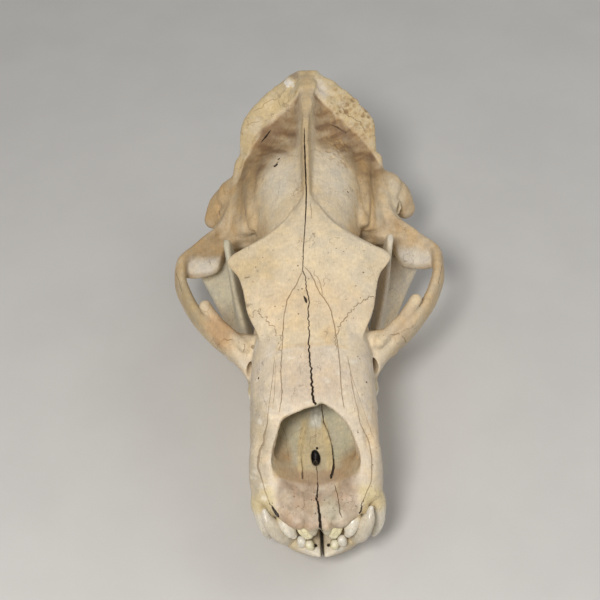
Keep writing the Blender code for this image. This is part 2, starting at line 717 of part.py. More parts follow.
def lower_jaw(name, side):
    bone, teeth = [jaw_body(), *jaw_branch()], lower_teeth()
    if side == RIGHT:
        bone, teeth = [mirrored(form) for form in bone], [mirrored(form) for form in teeth]
    jaw = reduced(fused(name, bone, BONE_VOXEL, BONE_SOFTENING), JAW_TRIANGLES)
    boolean(jaw, as_object("teeth", teeth), "UNION")
    ends = [[(-200, s, -40), (200, s, -40), (200, s, 0), (-200, s, 0)] for s in (-90, 460)]
    return boolean(jaw, block("ground", ends[0] + ends[1]), "DIFFERENCE")


def finish(obj, colour):
    material = bpy.data.materials.new(obj.name)
    material.use_nodes = True
    shader = material.node_tree.nodes["Principled BSDF"]
    shader.inputs["Base Color"].default_value = (*colour, 1)
    shader.inputs["Roughness"].default_value = 0.6
    obj.data.materials.clear()
    obj.data.materials.append(material)
    obj.data.shade_smooth()


def main():
    for obj in list(bpy.data.objects):
        bpy.data.objects.remove(obj)
    skull = reduced(cranium(), CRANIUM_TRIANGLES)
    boolean(skull, as_object("teeth", on_both_sides(upper_teeth())), "UNION")
    nodes = parted_cranium(skull)
    nodes += [lower_jaw("lower_jaw_left", LEFT), lower_jaw("lower_jaw_right", RIGHT)]
    for node in nodes:
        finish(node, BONE_COLOUR)


main()
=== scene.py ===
"""Scene of a weathered polar bear skull that rests on its lower jaw.

Sizes are in millimetres. A point is (across, back, up): across from the midline to the animal's
left, back from the upper front teeth, and up from the ground. The snout points along -Y.
"""

import math

import bpy
import numpy as np
from mathutils import Matrix, Vector
from mathutils.bvhtree import BVHTree
from mathutils.kdtree import KDTree


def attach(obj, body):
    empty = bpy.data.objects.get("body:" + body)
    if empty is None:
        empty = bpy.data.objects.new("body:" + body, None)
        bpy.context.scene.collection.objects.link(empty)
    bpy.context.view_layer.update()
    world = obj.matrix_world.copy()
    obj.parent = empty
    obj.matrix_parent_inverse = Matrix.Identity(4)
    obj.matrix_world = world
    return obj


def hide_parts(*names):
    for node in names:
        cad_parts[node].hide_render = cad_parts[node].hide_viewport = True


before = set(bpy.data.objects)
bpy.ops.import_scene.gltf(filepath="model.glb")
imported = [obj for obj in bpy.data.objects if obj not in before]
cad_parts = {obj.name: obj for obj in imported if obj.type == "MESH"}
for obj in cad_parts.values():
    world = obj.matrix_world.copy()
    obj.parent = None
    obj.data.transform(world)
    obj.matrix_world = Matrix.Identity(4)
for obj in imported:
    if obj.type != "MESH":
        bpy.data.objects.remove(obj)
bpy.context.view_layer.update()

MM = 0.001
ORIGIN_BACK = 196.8

VOXEL = 0.9
SOFTENING = 11
GROOVE_STEP = 0.25

LEFT, RIGHT = 1, -1


# Curves and rings


def profile(*pairs):
    """A smooth curve through (station, size) pairs that never overshoots, level beyond its ends."""
    place, size = (np.array(column, float) for column in zip(*pairs))
    gap = np.diff(place)
    rise = np.diff(size) / gap
    slope = np.zeros(len(place))
    for i in range(1, len(place) - 1):
        if rise[i - 1] * rise[i] > 0:
            before, after = 2 * gap[i] + gap[i - 1], gap[i] + 2 * gap[i - 1]
            slope[i] = (before + after) / (before / rise[i - 1] + after / rise[i])
    slope[0], slope[-1] = rise[0], rise[-1]

    def at(station):
        x = np.clip(station, place[0], place[-1])
        i = np.clip(np.searchsorted(place, x, side="right") - 1, 0, len(gap) - 1)
        t = (x - place[i]) / gap[i]
        return (
            size[i] * (1 + 2 * t) * (1 - t) ** 2
            + gap[i] * slope[i] * t * (1 - t) ** 2
            + size[i + 1] * t * t * (3 - 2 * t)
            - gap[i] * slope[i + 1] * t * t * (1 - t)
        )

    return at


def rounded(count, power=2.0, lower_power=None):
    """Unit points round a superellipse: a circle at power 2, squarer above it."""
    angle = np.arange(count) * 2 * math.pi / count
    across, up = np.cos(angle), np.sin(angle)
    exponent = np.where(up >= 0, 2 / power, 2 / (lower_power or power))
    across = np.sign(across) * np.abs(across) ** exponent
    up = np.sign(up) * np.abs(up) ** exponent
    return across, up


def skin(rings):
    """A closed form through rings of equal count, as (points, faces)."""
    count = len(rings[0])
    points = np.concatenate(rings)
    faces = []
    for r in range(len(rings) - 1):
        for i in range(count):
            j = (i + 1) % count
            a, b = r * count, (r + 1) * count
            faces.append((a + i, a + j, b + j, b + i))
    faces.append(tuple(range(count))[::-1])
    last = (len(rings) - 1) * count
    faces.append(tuple(range(last, last + count)))
    return points, faces


def ring(across, back, up):
    """Points round one cross-section; a single number holds for all of them."""
    return np.column_stack(np.broadcast_arrays(across, back, up))


def mirrored(form):
    """A form on the other side of the midline, with what it holds beside points and faces."""
    points, faces, *rest = form
    return points * (-1, 1, 1), [face[::-1] for face in faces], *rest


def on_both_sides(forms):
    """Forms made on the left, and the same on the right."""
    return forms + [mirrored(form) for form in forms]


def joined(forms):
    """Several forms as one, with what they hold beside points and faces."""
    points, face_lists, *rest = zip(*forms)
    faces, start = [], 0
    for form_points, form_faces in zip(points, face_lists):
        faces += [tuple(start + i for i in face) for face in form_faces]
        start += len(form_points)
    return np.concatenate(points), faces, *map(np.concatenate, rest)


def loft(
    stations, half_width, top, bottom, widest=None, upper=2.0, lower=2.0, camber=0.0, middle=0.0, count=112,
):
    """A body along the skull, its cross-sections given by profiles of the station."""

    def section(station):
        def here(given):
            return given(station) if callable(given) else given

        roof, floor = here(top), here(bottom)
        level = here(widest) if widest is not None else (roof + floor) / 2
        across, up = rounded(count, here(upper), here(lower))
        z = level + np.where(up >= 0, (roof - level) * up, (level - floor) * up)
        return ring(here(half_width) * across + here(middle), station, z - here(camber) * across**2)

    return skin([section(station) for station in stations])


def sweep(route, wide, half_wide, half_thick, power=2.0, count=32, spacing=1.5, domed=True):
    """A tube along a route, with an oval section whose long way lies along `wide`."""
    route = np.array(route, float)
    run = np.concatenate([[0], np.cumsum(np.linalg.norm(np.diff(route, axis=0), axis=1))])
    steps = np.linspace(0, run[-1], max(4, int(run[-1] / spacing)))

    def along(values):
        values = np.array(values, float)
        if values.ndim == 0:
            return np.full(len(steps), float(values))
        if values.ndim == 1 and len(values) == len(run):
            return profile(*zip(run, values))(steps)
        return np.column_stack([profile(*zip(run, column))(steps) for column in values.T])

    line = along(route)
    tangent = np.gradient(line, axis=0)
    tangent /= np.linalg.norm(tangent, axis=1)[:, None]
    wide = np.array(wide, float)
    wide = along(wide) if wide.ndim == 2 else np.tile(wide, (len(steps), 1))
    wide = wide - (wide * tangent).sum(1)[:, None] * tangent
    wide /= np.linalg.norm(wide, axis=1)[:, None]
    thin = np.cross(tangent, wide)
    a, b = along(half_wide), along(half_thick)
    across, up = rounded(count, power)
    section = [(line[i], a[i], b[i], i) for i in range(len(steps))]
    if domed:
        turns = np.radians([80, 66, 52, 38, 24, 11])

        def dome(i, way):
            rise = tangent[i] * b[i] * way
            return [
                (line[i] + rise * math.sin(t), a[i] * math.cos(t), b[i] * math.cos(t), i) for t in turns
            ]

        section = dome(0, -1) + section + dome(-1, 1)[::-1]
    rings = [
        centre + np.outer(across * wide_size, wide[i]) + np.outer(up * thin_size, thin[i])
        for centre, wide_size, thin_size, i in section
    ]
    return skin(rings)


def ball(centre, radii, count=40):
    """An ellipsoid."""
    across, up = rounded(count)
    turns = np.linspace(-0.48, 0.48, count // 2) * math.pi
    return skin([
        ring(
            centre[0] + radii[0] * math.cos(t) * across,
            centre[1] - radii[1] * math.sin(t),
            centre[2] + radii[2] * math.cos(t) * up,
        )
        for t in turns[::-1]
    ])


# Blender objects


def mesh_object(name, points, faces):
    """One mesh object from points in millimetres, set in the row frame in metres."""
    mesh = bpy.data.meshes.new(name)
    points = (np.asarray(points, float) - (0, ORIGIN_BACK, 0)) * MM
    if isinstance(faces, np.ndarray):
        mesh.vertices.add(len(points))
        mesh.vertices.foreach_set("co", points.ravel())
        mesh.loops.add(faces.size)
        mesh.loops.foreach_set("vertex_index", faces.ravel().astype(np.int32))
        mesh.polygons.add(len(faces))
        mesh.polygons.foreach_set("loop_start", np.arange(0, faces.size, faces.shape[1], dtype=np.int32))
        mesh.update(calc_edges=True)
    else:
        mesh.from_pydata(points.tolist(), [], faces)
    obj = bpy.data.objects.new(name, mesh)
    bpy.context.scene.collection.objects.link(obj)
    return obj


def apply_modifiers(obj):
    """Turns an object's modifiers into its mesh."""
    graph = bpy.context.evaluated_depsgraph_get()
    made = bpy.data.meshes.new_from_object(obj.evaluated_get(graph))
    obj.modifiers.clear()
    obj.data = made
    return obj


def skinned(obj, voxel, softening=0):
    """One closed skin round all that an object holds, with its creases softened."""
    remesh = obj.modifiers.new("Skin", "REMESH")
    remesh.mode = "VOXEL"
    remesh.voxel_size = voxel * MM
    if softening:
        smooth = obj.modifiers.new("Soften", "SMOOTH")
        smooth.iterations = softening
    return apply_modifiers(obj)


def fused(name, forms, voxel, softening=0):
    """Forms that overlap, as one closed object."""
    return skinned(mesh_object(name, *joined(forms)), voxel, softening)


def less(obj, other):
    """An object with another cut out of it; the other is removed."""
    modifier = obj.modifiers.new("Cut", "BOOLEAN")
    modifier.operation = "DIFFERENCE"
    modifier.solver = "MANIFOLD"
    modifier.object = other
    apply_modifiers(obj)
    bpy.data.objects.remove(other)
    return obj


# Skins as arrays


NEIGHBOURS = np.array([(i, j, k) for i in (-1, 0, 1) for j in (-1, 0, 1) for k in (-1, 0, 1)])


def points_of(obj):
    """An object's points in millimetres."""
    points = np.empty(len(obj.data.vertices) * 3)
    obj.data.vertices.foreach_get("co", points)
    return points.reshape(-1, 3) / MM + (0, ORIGIN_BACK, 0)


def arrays_of(obj):
    """An object's points and triangles; the object is removed."""
    mesh = obj.data
    mesh.calc_loop_triangles()
    points = points_of(obj)
    triangles = np.empty(len(mesh.loop_triangles) * 3, np.int32)
    mesh.loop_triangles.foreach_get("vertices", triangles)
    bpy.data.objects.remove(obj)
    return points, triangles.reshape(-1, 3).astype(np.int64)


def normals_of(points, triangles):
    """The direction in which the skin faces at each point."""
    a, b, c = (points[triangles[:, i]] for i in range(3))
    face = np.cross(b - a, c - a)
    total = np.zeros_like(points)
    for corner in range(3):
        for axis in range(3):
            total[:, axis] += np.bincount(triangles[:, corner], face[:, axis], len(points))
    return total / np.maximum(np.linalg.norm(total, axis=1), 1e-9)[:, None]


def refined(points, triangles, near):
    """Split each triangle that has a point in `near` into four, and its neighbours to match."""
    ends = np.sort(np.stack([triangles, np.roll(triangles, -1, 1)], 2), 2)
    key, side = np.unique(ends[..., 0] * len(points) + ends[..., 1], return_inverse=True)
    side = side.reshape(-1, 3)
    split = np.zeros(len(key), bool)
    split[side[near[triangles].any(1)]] = True
    middle = np.full(len(key), -1)
    middle[split] = len(points) + np.arange(split.sum())
    ends = np.divmod(key[split], len(points))
    points = np.concatenate([points, (points[ends[0]] + points[ends[1]]) / 2])
    middles = middle[side]
    parts = (middles >= 0).sum(1)

    def cut(chosen, first, *pieces):
        """New triangles of the chosen ones: 0 to 2 is a corner, 3 to 5 the middle of the side after it."""
        turn = [(first + i) % 3 for i in range(3)]
        places = np.column_stack([triangles[chosen][:, turn], middles[chosen][:, turn]])
        return [places[:, piece] for piece in pieces]

    made = [triangles[parts == 0], *cut(parts == 3, 0, [0, 3, 5], [3, 1, 4], [5, 4, 2], [3, 4, 5])]
    for first in range(3):
        made += cut((parts == 1) & (middles[:, first] >= 0), first, [0, 3, 2], [3, 1, 2])
        last_whole = middles[:, (first + 2) % 3] < 0
        made += cut((parts == 2) & last_whole, first, [3, 1, 4], [0, 3, 4], [0, 4, 2])
    return points, np.concatenate(made)


def near(points, samples, reach):
    """The nearest sample to each point and its distance, where that is within reach."""
    span = 1 << 12
    offset = (200, 100, 100)

    def cells(places):
        return np.floor((places + offset) / reach).astype(np.int64)

    def keys(grid):
        """One whole number for each cell of the grid."""
        return (grid[..., 0] * span + grid[..., 1]) * span + grid[..., 2]

    taken = np.unique(keys(np.unique(cells(samples), axis=0)[:, None] + NEIGHBOURS))
    candidates = np.flatnonzero(np.isin(keys(cells(points)), taken))
    tree = KDTree(len(samples))
    for i, sample in enumerate(samples.tolist()):
        tree.insert(sample, i)
    tree.balance()
    index = np.zeros(len(points), np.int64)
    distance = np.full(len(points), np.inf)
    for i, place in zip(candidates.tolist(), points[candidates].tolist()):
        _, index[i], distance[i] = tree.find(place)
    return index, distance


# Smooth random values


LATTICE_SIZE = 64
LATTICE = np.random.default_rng(11).random((LATTICE_SIZE,) * 3) * 2 - 1
SHIFT_PER_SEED = np.array([17.3, 5.9, 31.7])


def lattice(cell, ahead=(0, 0, 0)):
    """The random value of each cell of an endlessly repeated block, whose size is a power of two."""
    i, j, k = ((cell + ahead) & (LATTICE_SIZE - 1)).T
    return LATTICE[i, j, k]


def noise(points, size, seed=0):
    """Smooth random values from -1 to 1 that change over `size` millimetres."""
    place = points / size + SHIFT_PER_SEED * (seed + 1)
    cell = np.floor(place).astype(np.int64)
    t = place - cell
    t = t * t * (3 - 2 * t)
    total = 0
    for corner in range(8):
        step = np.array([corner & 1, corner >> 1 & 1, corner >> 2 & 1])
        total = total + np.where(step, t, 1 - t).prod(1) * lattice(cell, step)
    return total


def rough(points, size, octaves=3, seed=0):
    """Noise with finer noise on it."""
    size = np.array(size, float)
    return sum(noise(points, size / 2**i, seed + i) / 2**i for i in range(octaves)) / 1.5


def pits(points, size, seed=0):
    """Distance, in cells, from a point to the nearest scattered seed."""
    place = points / size + 40
    cell = np.floor(place).astype(np.int64)
    best = np.full(len(points), 9.0)
    for step in NEIGHBOURS:
        other = cell + step
        picked = lattice(other), lattice(other, (7 + seed, 0, 0)), lattice(other, (0, 13 + seed, 0))
        jitter = np.stack(picked, 1) * 0.5 + 0.5
        best = np.minimum(best, np.linalg.norm(other + jitter - place, axis=1))
    return best


def ease(value, low, high):
    """0 below low, 1 above high, smooth between; high may be the smaller."""
    t = np.clip((value - low) / (high - low), 0, 1)
    return t * t * (3 - 2 * t)


def patch(points, centre, radii, soft=0.6, ragged=0.35, grain=7.0, seed=0):
    """1 inside an egg-shaped patch with an uneven rim, 0 outside."""
    distance = np.linalg.norm((points - centre) / radii, axis=1)
    close = distance < 2.2
    distance[close] += ragged * rough(points[close], grain, 3, seed)
    return ease(distance, 1 + soft / 2, 1 - soft / 2)


# Marks laid on a skin


ABOVE_ALL = 260
REFINED_BESIDE = (1.2, 0.5)


def in_metres(place):
    """A point in millimetres as a place in the row frame."""
    return Vector(np.array(place) - (0, ORIGIN_BACK, 0)) * MM


class Marks:
    """Lines and spots laid on a bone: sunk where depth is above 0, raised where it is below."""

    def __init__(self, obj):
        self.tree = BVHTree.FromObject(obj, bpy.context.evaluated_depsgraph_get())
        self.rows = []

    def laid(self, place):
        """The point of the skin below (across, back), or nearest to (across, back, up)."""
        if len(place) == 2:
            hit = self.tree.ray_cast(in_metres((*place, ABOVE_ALL)), Vector((0, 0, -1)))[0]
        else:
            hit = self.tree.find_nearest(in_metres(place))[0]
        return None if hit is None else np.array(hit) / MM + (0, ORIGIN_BACK, 0)

    def line(self, route, half_width, depth, dark=1.0, wander=0.0, period=3.0, taper=3.0, seed=0):
        """A line along a route; half_width and depth may be one number or one for each route point."""
        if len({len(place) for place in route}) > 1:
            route = [self.laid(place) if len(place) == 2 else place for place in route]
        route = np.array(route, float)
        run = np.concatenate([[0], np.cumsum(np.linalg.norm(np.diff(route, axis=0), axis=1))])
        at = np.arange(0, run[-1] + GROOVE_STEP, GROOVE_STEP)
        path = np.column_stack([profile(*zip(run, column))(at) for column in route.T])
        if wander:
            way = np.gradient(path, axis=0)
            aside = np.column_stack([-way[:, 1], way[:, 0]])
            aside /= np.maximum(np.linalg.norm(aside, axis=1), 1e-9)[:, None]
            track = np.column_stack([at, at * 0 + 3.1 * seed, at * 0])
            shift = noise(track, period, seed) + 0.5 * noise(track, period / 2.7, seed + 3)
            path[:, :2] += aside * (wander * shift * np.minimum(1, at / 2))[:, None]

        def along(values):
            return profile(*zip(run, values))(at) if np.ndim(values) else np.full(len(at), float(values))

        ends = np.minimum(1, np.minimum(at, at[-1] - at) / taper + 0.15) if taper else 1
        uneven = 1 + 0.18 * noise(np.column_stack([at, at * 0 + seed, at * 0]), 2.3, seed)
        width, deep = along(half_width) * (0.5 + 0.5 * ends) * uneven, along(depth) * ends * uneven
        for place, half, sunk in zip(path, width, deep):
            self.spot(place, half, sunk, dark)

    def spot(self, place, radius, depth, dark=1.0):
        """A round mark, left out where nothing is below its place."""
        laid = self.laid(place)
        if laid is not None:
            self.rows.append((*laid, radius, depth, dark))

    def cut(self, points, triangles, levels):
        """Refine the skin at the marks, move it, and give how dark each point is."""
        table = np.array(self.rows)
        centres, width, depth, dark = table[:, :3], table[:, 3], table[:, 4], table[:, 5]
        reach = width.max() + 1.6
        for beside in REFINED_BESIDE[:levels]:
            index, distance = near(points, centres, reach)
            points, triangles = refined(points, triangles, distance < width[index] + beside)
        index, distance = near(points, centres, reach)
        share = np.clip(1 - distance / width[index], 0, 1)
        fall = np.where(depth[index] > 0, 1 - (1 - share) ** 2.2, ease(share, 0, 1))
        points = points - normals_of(points, triangles) * (depth[index] * fall)[:, None]
        return points, triangles, ease(distance - width[index], 0.16, -0.16) * dark[index]


# Cranium, the same forms as the solids'


DORSAL = profile(
    (0, 70), (5, 74.5), (14, 78.5), (26, 84), (34, 93), (42, 104), (64, 127), (90, 132), (120, 137),
    (150, 144), (176, 151), (200, 156), (230, 158), (262, 157), (300, 155), (340, 151), (362, 146),
    (376, 139), (386, 120),
)


def core():
    """Snout, forehead and braincase as one body, without crests, arches or hollows."""
    return loft(
        np.concatenate([[2, 3, 5, 7.5], np.arange(9, 386, 2)]),
        half_width=profile(
            (2, 12), (3, 16), (5, 20), (7.5, 23.5), (11, 27), (17, 31.5), (25, 37.5), (34, 41.8), (46, 45),
            (62, 46.4), (80, 46.4), (105, 46.2), (125, 45), (145, 41), (160, 37), (180, 34), (205, 33),
            (225, 36), (250, 41), (280, 46.5), (310, 49.5), (340, 48), (365, 44), (385, 34),
        ),
        top=DORSAL,
        bottom=profile((0, 67), (8, 66), (16, 64), (190, 64), (205, 72), (222, 84), (300, 83), (386, 86)),
        widest=profile(
            (0, 69), (12, 72), (30, 80), (60, 88), (105, 94), (145, 104), (205, 116), (250, 114),
            (300, 112), (386, 106),
        ),
        upper=profile((0, 2.6), (60, 2.7), (150, 2.4), (200, 2.0), (260, 1.9), (386, 1.9)),
        lower=profile((0, 2.6), (60, 3.6), (110, 3.0), (160, 2.2), (386, 2.4)),
    )


def tooth_bearing_ledge():
    """The palate and the sockets' walls, from the canines to the last molar."""
    return loft(
        np.arange(10, 211, 2),
        half_width=profile(
            (10, 26), (24, 38.5), (36, 43), (60, 43), (90, 41), (120, 42), (150, 45), (178, 46), (192, 41),
            (210, 24),
        ),
        top=profile((10, 80), (40, 92), (150, 92), (210, 84)),
        bottom=profile((10, 64), (60, 64), (200, 64), (210, 68)),
        upper=3.0,
        lower=4.0,
    )


def forehead_shield():
    """The flat forehead, out to the points behind the eyes and back along the temporal lines."""
    shield_rise = profile((118, -5), (135, 0), (160, 3.0), (200, 4.5), (251, 6.5))
    return loft(
        np.arange(118, 252, 1.5),
        half_width=profile(
            (118, 34), (134, 41), (150, 48), (164, 50.5), (174, 54), (181, 60), (186, 62.5), (190, 60),
            (196, 51), (204, 40), (214, 29), (226, 18), (240, 9), (251, 4),
        ),
        top=lambda s: DORSAL(s) + shield_rise(s),
        bottom=lambda s: DORSAL(s) - 22,
        widest=lambda s: DORSAL(s) - 4 + shield_rise(s) * 0.5,
        camber=profile((118, 10), (150, 6), (172, 2), (186, 0), (215, 2), (251, 4)),
        upper=2.4,
        lower=1.3,
    )


def sagittal_crest():
    """The ridge on the midline, flared at its foot."""
    top = profile((222, 157), (243, 163.5), (270, 168), (300, 171), (340, 173.5), (375, 174), (396, 171))
    depth = np.array([0.0, 0.7, 4.0, 10.0, 17.0, 24.0, 31.0])
    flare = np.array([1.2, 2.4, 2.9, 4.0, 7.0, 13.0, 22.0])
    reach = profile((222, 1), (345, 1), (375, 0.7), (398, 0.3))
    broad = profile((222, 1), (325, 1), (355, 1.9), (380, 3.0), (398, 3.4))
    limit = profile((222, 60), (360, 40), (380, 22), (398, 8))
    rings = []
    for station in np.arange(222, 399, 2):
        height, foot = top(station), reach(station)
        x = np.minimum(flare * (0.4 + 0.6 * foot) * broad(station), limit(station))
        x = np.concatenate([x, -x[::-1]])
        z = height - np.concatenate([depth, depth[::-1]]) * foot
        rings.append(ring(x, station, z))
    return skin(rings)


NUCHAL_EDGE = [
    (0, 399, 172), (14, 392, 167.5), (30, 384, 160.5), (44, 373.5, 153), (54, 363, 143),
    (56.5, 352, 129), (60, 343, 113), (66, 335, 99), (74, 329, 87),
]
NUCHAL_OUTWARD = [
    (0, 0.9, 0.5), (0.15, 0.85, 0.5), (0.35, 0.75, 0.5), (0.55, 0.65, 0.45), (0.7, 0.6, 0.3),
    (0.8, 0.55, 0.15), (0.85, 0.5, 0.0), (0.9, 0.4, -0.1), (0.9, 0.3, -0.3),
]


def nuchal_crest():
    """The flange across the back of the skull, from the midline down to behind the ear."""
    depth = 13.0
    outward = np.array(NUCHAL_OUTWARD)
    outward /= np.linalg.norm(outward, axis=1)[:, None]
    route = np.array(NUCHAL_EDGE, float) - outward * depth
    half_thick = [5, 4.8, 4.4, 4.0, 3.8, 4.0, 4.5, 6, 8]
    return sweep(route, outward, [depth] * 7 + [12, 11], half_thick, power=2.2, count=40)


def ear_region():
    """Mastoid and jugular processes, ear capsule and ear tube, on the left."""
    mastoid = sweep(
        [(50, 336, 104), (62, 331, 95), (76, 325, 84), (83, 320, 73)], (0, 1, 0.3),
        [13, 13, 12.5, 9], [13, 12, 10.5, 8],
    )
    ear_tube = sweep([(44, 312, 88), (58, 309, 90), (71, 305, 91)], (0, 0, 1), [9, 8, 8], [9, 8, 7.5])
    capsule = ball((37, 320, 84), (19, 22, 10))
    bulge = ball((63.5, 326, 96.5), (15, 18, 11))
    jugular = sweep([(48, 352, 100), (54, 357, 87), (57, 360, 77)], (1, 0, 0), [12, 9, 6], [11, 8, 5])
    return [mastoid, ear_tube, capsule, bulge, jugular]


def jaw_joint():
    """The temporal bone's shelf above the jaw's hinge, and the lip behind it, on the left."""
    front = profile(
        (38, 268), (66, 263), (70, 256), (73.5, 241), (80, 235), (94, 232), (102, 234), (107, 242),
    )
    back = profile((38, 298), (68, 293), (86, 270), (107, 255))
    level = profile((38, 98), (56, 94), (72, 91.5), (107, 90.5))
    half_thick = profile((38, 12), (56, 8.5), (75, 5.6), (100, 5), (107, 4))
    along, up = rounded(48, 4.0)
    shelf = skin([
        ring(x, (front(x) + back(x)) / 2 + along * (back(x) - front(x)) / 2, level(x) + up * half_thick(x))
        for x in np.arange(38, 107.5, 1.5)
    ])
    floor = sweep(
        [(50, 350, 110), (52, 330, 104), (54, 305, 99), (57, 288, 95), (64, 276, 91)], (1, 0, -0.12),
        [9, 13, 16, 19, 20], [10, 8, 7.5, 7, 6], power=2.4,
    )
    temple_wall = sweep(
        [(45, 348, 121), (46, 330, 117), (48, 308, 112), (50, 288, 108), (53, 272, 104)], (1, 0, -0.8),
        [14, 17, 18, 18, 15], [8, 8, 7.5, 7, 6], power=2.4,
    )
    ear_ridge = sweep(
        [(101, 249, 94), (86, 265, 97), (72, 282, 99), (64, 304, 102), (62, 326, 106), (59, 344, 116)],
        (0, 0, 1), [7, 6.5, 6, 6, 6.5, 7], [4.5, 4.2, 4, 4, 4, 4],
    )
    lip = sweep(
        [(48, 283, 82), (66, 280, 79), (80, 275, 79.5), (89, 268, 84)], (0, 0, 1), [11, 12, 10, 7], 3.8,
    )
    return [shelf, floor, temple_wall, ear_ridge, lip]


CHEEK_ROUTE = [
    (39, 129, 90), (48.5, 140, 92), (60, 149.5, 94), (73, 161, 95), (86.5, 178, 96), (98, 201, 96),
    (104.5, 224, 95.5), (105, 238, 95), (100, 249, 94), (89, 258, 93), (76, 265, 92),
]
CHEEK_LEAN = [
    (0.5, -0.2, 1), (0.5, -0.2, 1), (0.45, -0.15, 1), (0.35, 0, 1), (0.2, 0, 1), (0, 0, 1),
    (-0.15, 0, 1), (-0.2, 0, 1), (-0.2, 0, 1), (-0.1, 0, 1), (0, 0, 1),
]


def cheek_arch():
    """The zygomatic arch with the knob that marks the eye socket's rear edge, on the left."""
    height = [15, 15.5, 16, 15.5, 14.5, 13.5, 12, 11, 10, 8.5, 7]
    thickness = [12, 10, 8, 6.5, 5.4, 4.8, 4.6, 4.7, 5, 5.5, 6]
    arch = sweep(CHEEK_ROUTE, CHEEK_LEAN, height, thickness, power=2.3)
    rim = sweep(
        [(50, 137, 110), (60, 149, 109), (69.5, 160, 109.5), (76.5, 169, 112.5), (81, 174, 116.5)],
        (0, -0.6, 1), 5, 4.8,
    )
    socket_front = sweep([(32, 139, 102), (46, 141, 101), (60, 148, 97)], (0, 0.2, 1), 13, [10, 10, 8])
    return [arch, rim, socket_front]


def root_bulges():
    """Swellings over the canine roots, on the left."""
    route = [(37.5, 29, 74), (38.8, 39, 83), (37.6, 54, 95), (35, 70, 104)]
    return [sweep(route, (0, 0.6, 1), [11, 12, 11, 8], [9, 9, 8.2, 7])]


def tooth_socket_wall():
    """Bone between the roots of the canine and the last incisor, on the left."""
    route = [(37, 27, 77.5), (31.5, 20.5, 76), (26.5, 14, 75), (20.5, 8.5, 74), (14, 4.6, 73.6)]
    return sweep(route, (0, 0.4, 1), [8, 7.5, 6.4, 5.4, 4.6], [5, 5.4, 5.4, 5.2, 4.4])


def skull_base():
    """Pterygoid plates, and the occipital condyles, on the left."""
    plate = sweep(
        [(19, 196, 78), (17, 216, 79), (16, 238, 82), (17, 258, 84)], (0, 0, 1),
        [13, 12, 10, 7], [3.5, 3, 3, 3.5],
    )
    hook = sweep([(16, 250, 76), (15.5, 258, 71), (16, 264, 68.5)], (0, 1, 0), [5, 3.5, 2.5], [3, 2.5, 2.2])
    condyle = sweep(
        [(9, 378, 83), (20, 380, 88), (25, 379, 98), (23, 374, 107)], (0.5, 1, 0),
        [8, 11, 11, 8], [7, 8, 8, 6],
    )
    return [plate, hook, condyle]


def temple_gutter():
    """Softens the crease between the braincase and the side wall, on the left."""
    return sweep([(44, 338, 125), (43, 305, 124), (42, 280, 122), (39, 262, 121)], (1, 0, -0.4), 11, 6)


def occiput():
    """The back wall under the nuchal crest, and the gutter between the crest and the braincase."""
    half_width = profile(
        (82, 58), (92, 61), (104, 59.5), (118, 56), (130, 54), (142, 51), (150, 46), (156, 38), (162, 28),
        (169, 8),
    )
    edge = profile(
        (82, 338), (92, 338), (104, 343), (118, 349), (130, 353), (142, 363), (150, 371), (156, 377),
        (162, 383), (169, 391),
    )
    ahead = profile((82, 60), (130, 66), (145, 62), (156, 46), (169, 36))
    behind = profile((82, 36), (104, 32), (118, 28), (130, 25), (142, 17), (150, 12), (156, 9), (169, 4))
    hollow = profile((82, 1.7), (118, 1.3), (142, 0.95), (156, 0.7), (169, 0.6))
    rings = []
    for height in np.arange(82, 170, 1.5):
        across, along = rounded(88, 2.4, hollow(height))
        reach = np.where(along >= 0, behind(height), ahead(height))
        rings.append(ring(half_width(height) * across, edge(height) + along * reach, height))
    keel = sweep([(0, 391, 160), (0, 384, 140), (0, 379, 118)], (0, 1, 0), [7, 7, 6], [3.5, 3.5, 3])
    return [skin(rings), keel]


# the nose opening's edge on the animal's right and left, and the room behind it
NOSE_EDGE_RIGHT = profile(
    (9, -14), (16, -21), (20, -24.5), (26, -28), (32, -30), (39, -31.3), (45.7, -30), (51.8, -26.4),
    (55.2, -24.8), (59.2, -21.3), (60.4, -16.5), (61.9, -10.9), (63.9, -5.2), (65.2, 1.0), (67.2, 4.8),
)
NOSE_EDGE_LEFT = profile(
    (9, 14), (16, 21), (20, 24.5), (26, 28), (32, 30), (37.8, 31.7), (41.7, 31.4), (48.2, 28.2),
    (54.7, 24.1), (61, 16), (64.2, 11.6), (67.2, 6.6),
)
NOSE_ROOM_HALF = profile((40, 22), (52, 31), (66, 34.5), (85, 33), (110, 27), (134, 16))
NOSE_ROOM_BOTTOM = profile((40, 80), (66, 78.5), (100, 84), (134, 96))
NOSE_ROOM_LEVEL = profile((40, 92), (66, 98), (134, 112))


def nose_room_top(s):
    """The roof of the room inside the nose, under the nasal bones."""
    return DORSAL(s) - 3.4 - 4.6 * np.clip((60 - s) / 20, 0, 1) - 2 * np.clip((s - 90) / 30, 0, 1)


def nasal_hollow():
    """The nostril opening with its chipped edge, cut from above, and the room behind it."""

    def chipped(edge, side):
        return lambda s: edge(s) + side * 0.5 * (math.sin(1.9 * s + side) + 0.6 * math.sin(4.3 * s))

    right, left = chipped(NOSE_EDGE_RIGHT, RIGHT), chipped(NOSE_EDGE_LEFT, LEFT)
    opening = loft(
        np.arange(9, 67.4, 0.6),
        half_width=lambda s: (left(s) - right(s)) / 2,
        middle=lambda s: (left(s) + right(s)) / 2,
        top=145,
        bottom=profile((9, 80), (16, 80.8), (24, 80), (36, 78.6), (67, 78.5)),
        widest=profile((9, 92), (67, 100)),
        upper=10,
        lower=profile((9, 1.7), (32, 1.7), (50, 2.2), (67, 2.4)),
    )
    room = loft(
        np.arange(40, 135, 2),
        half_width=NOSE_ROOM_HALF,
        top=nose_room_top,
        bottom=NOSE_ROOM_BOTTOM,
        widest=NOSE_ROOM_LEVEL,
        upper=2.8,
        lower=2.4,
    )
    return [opening, room]


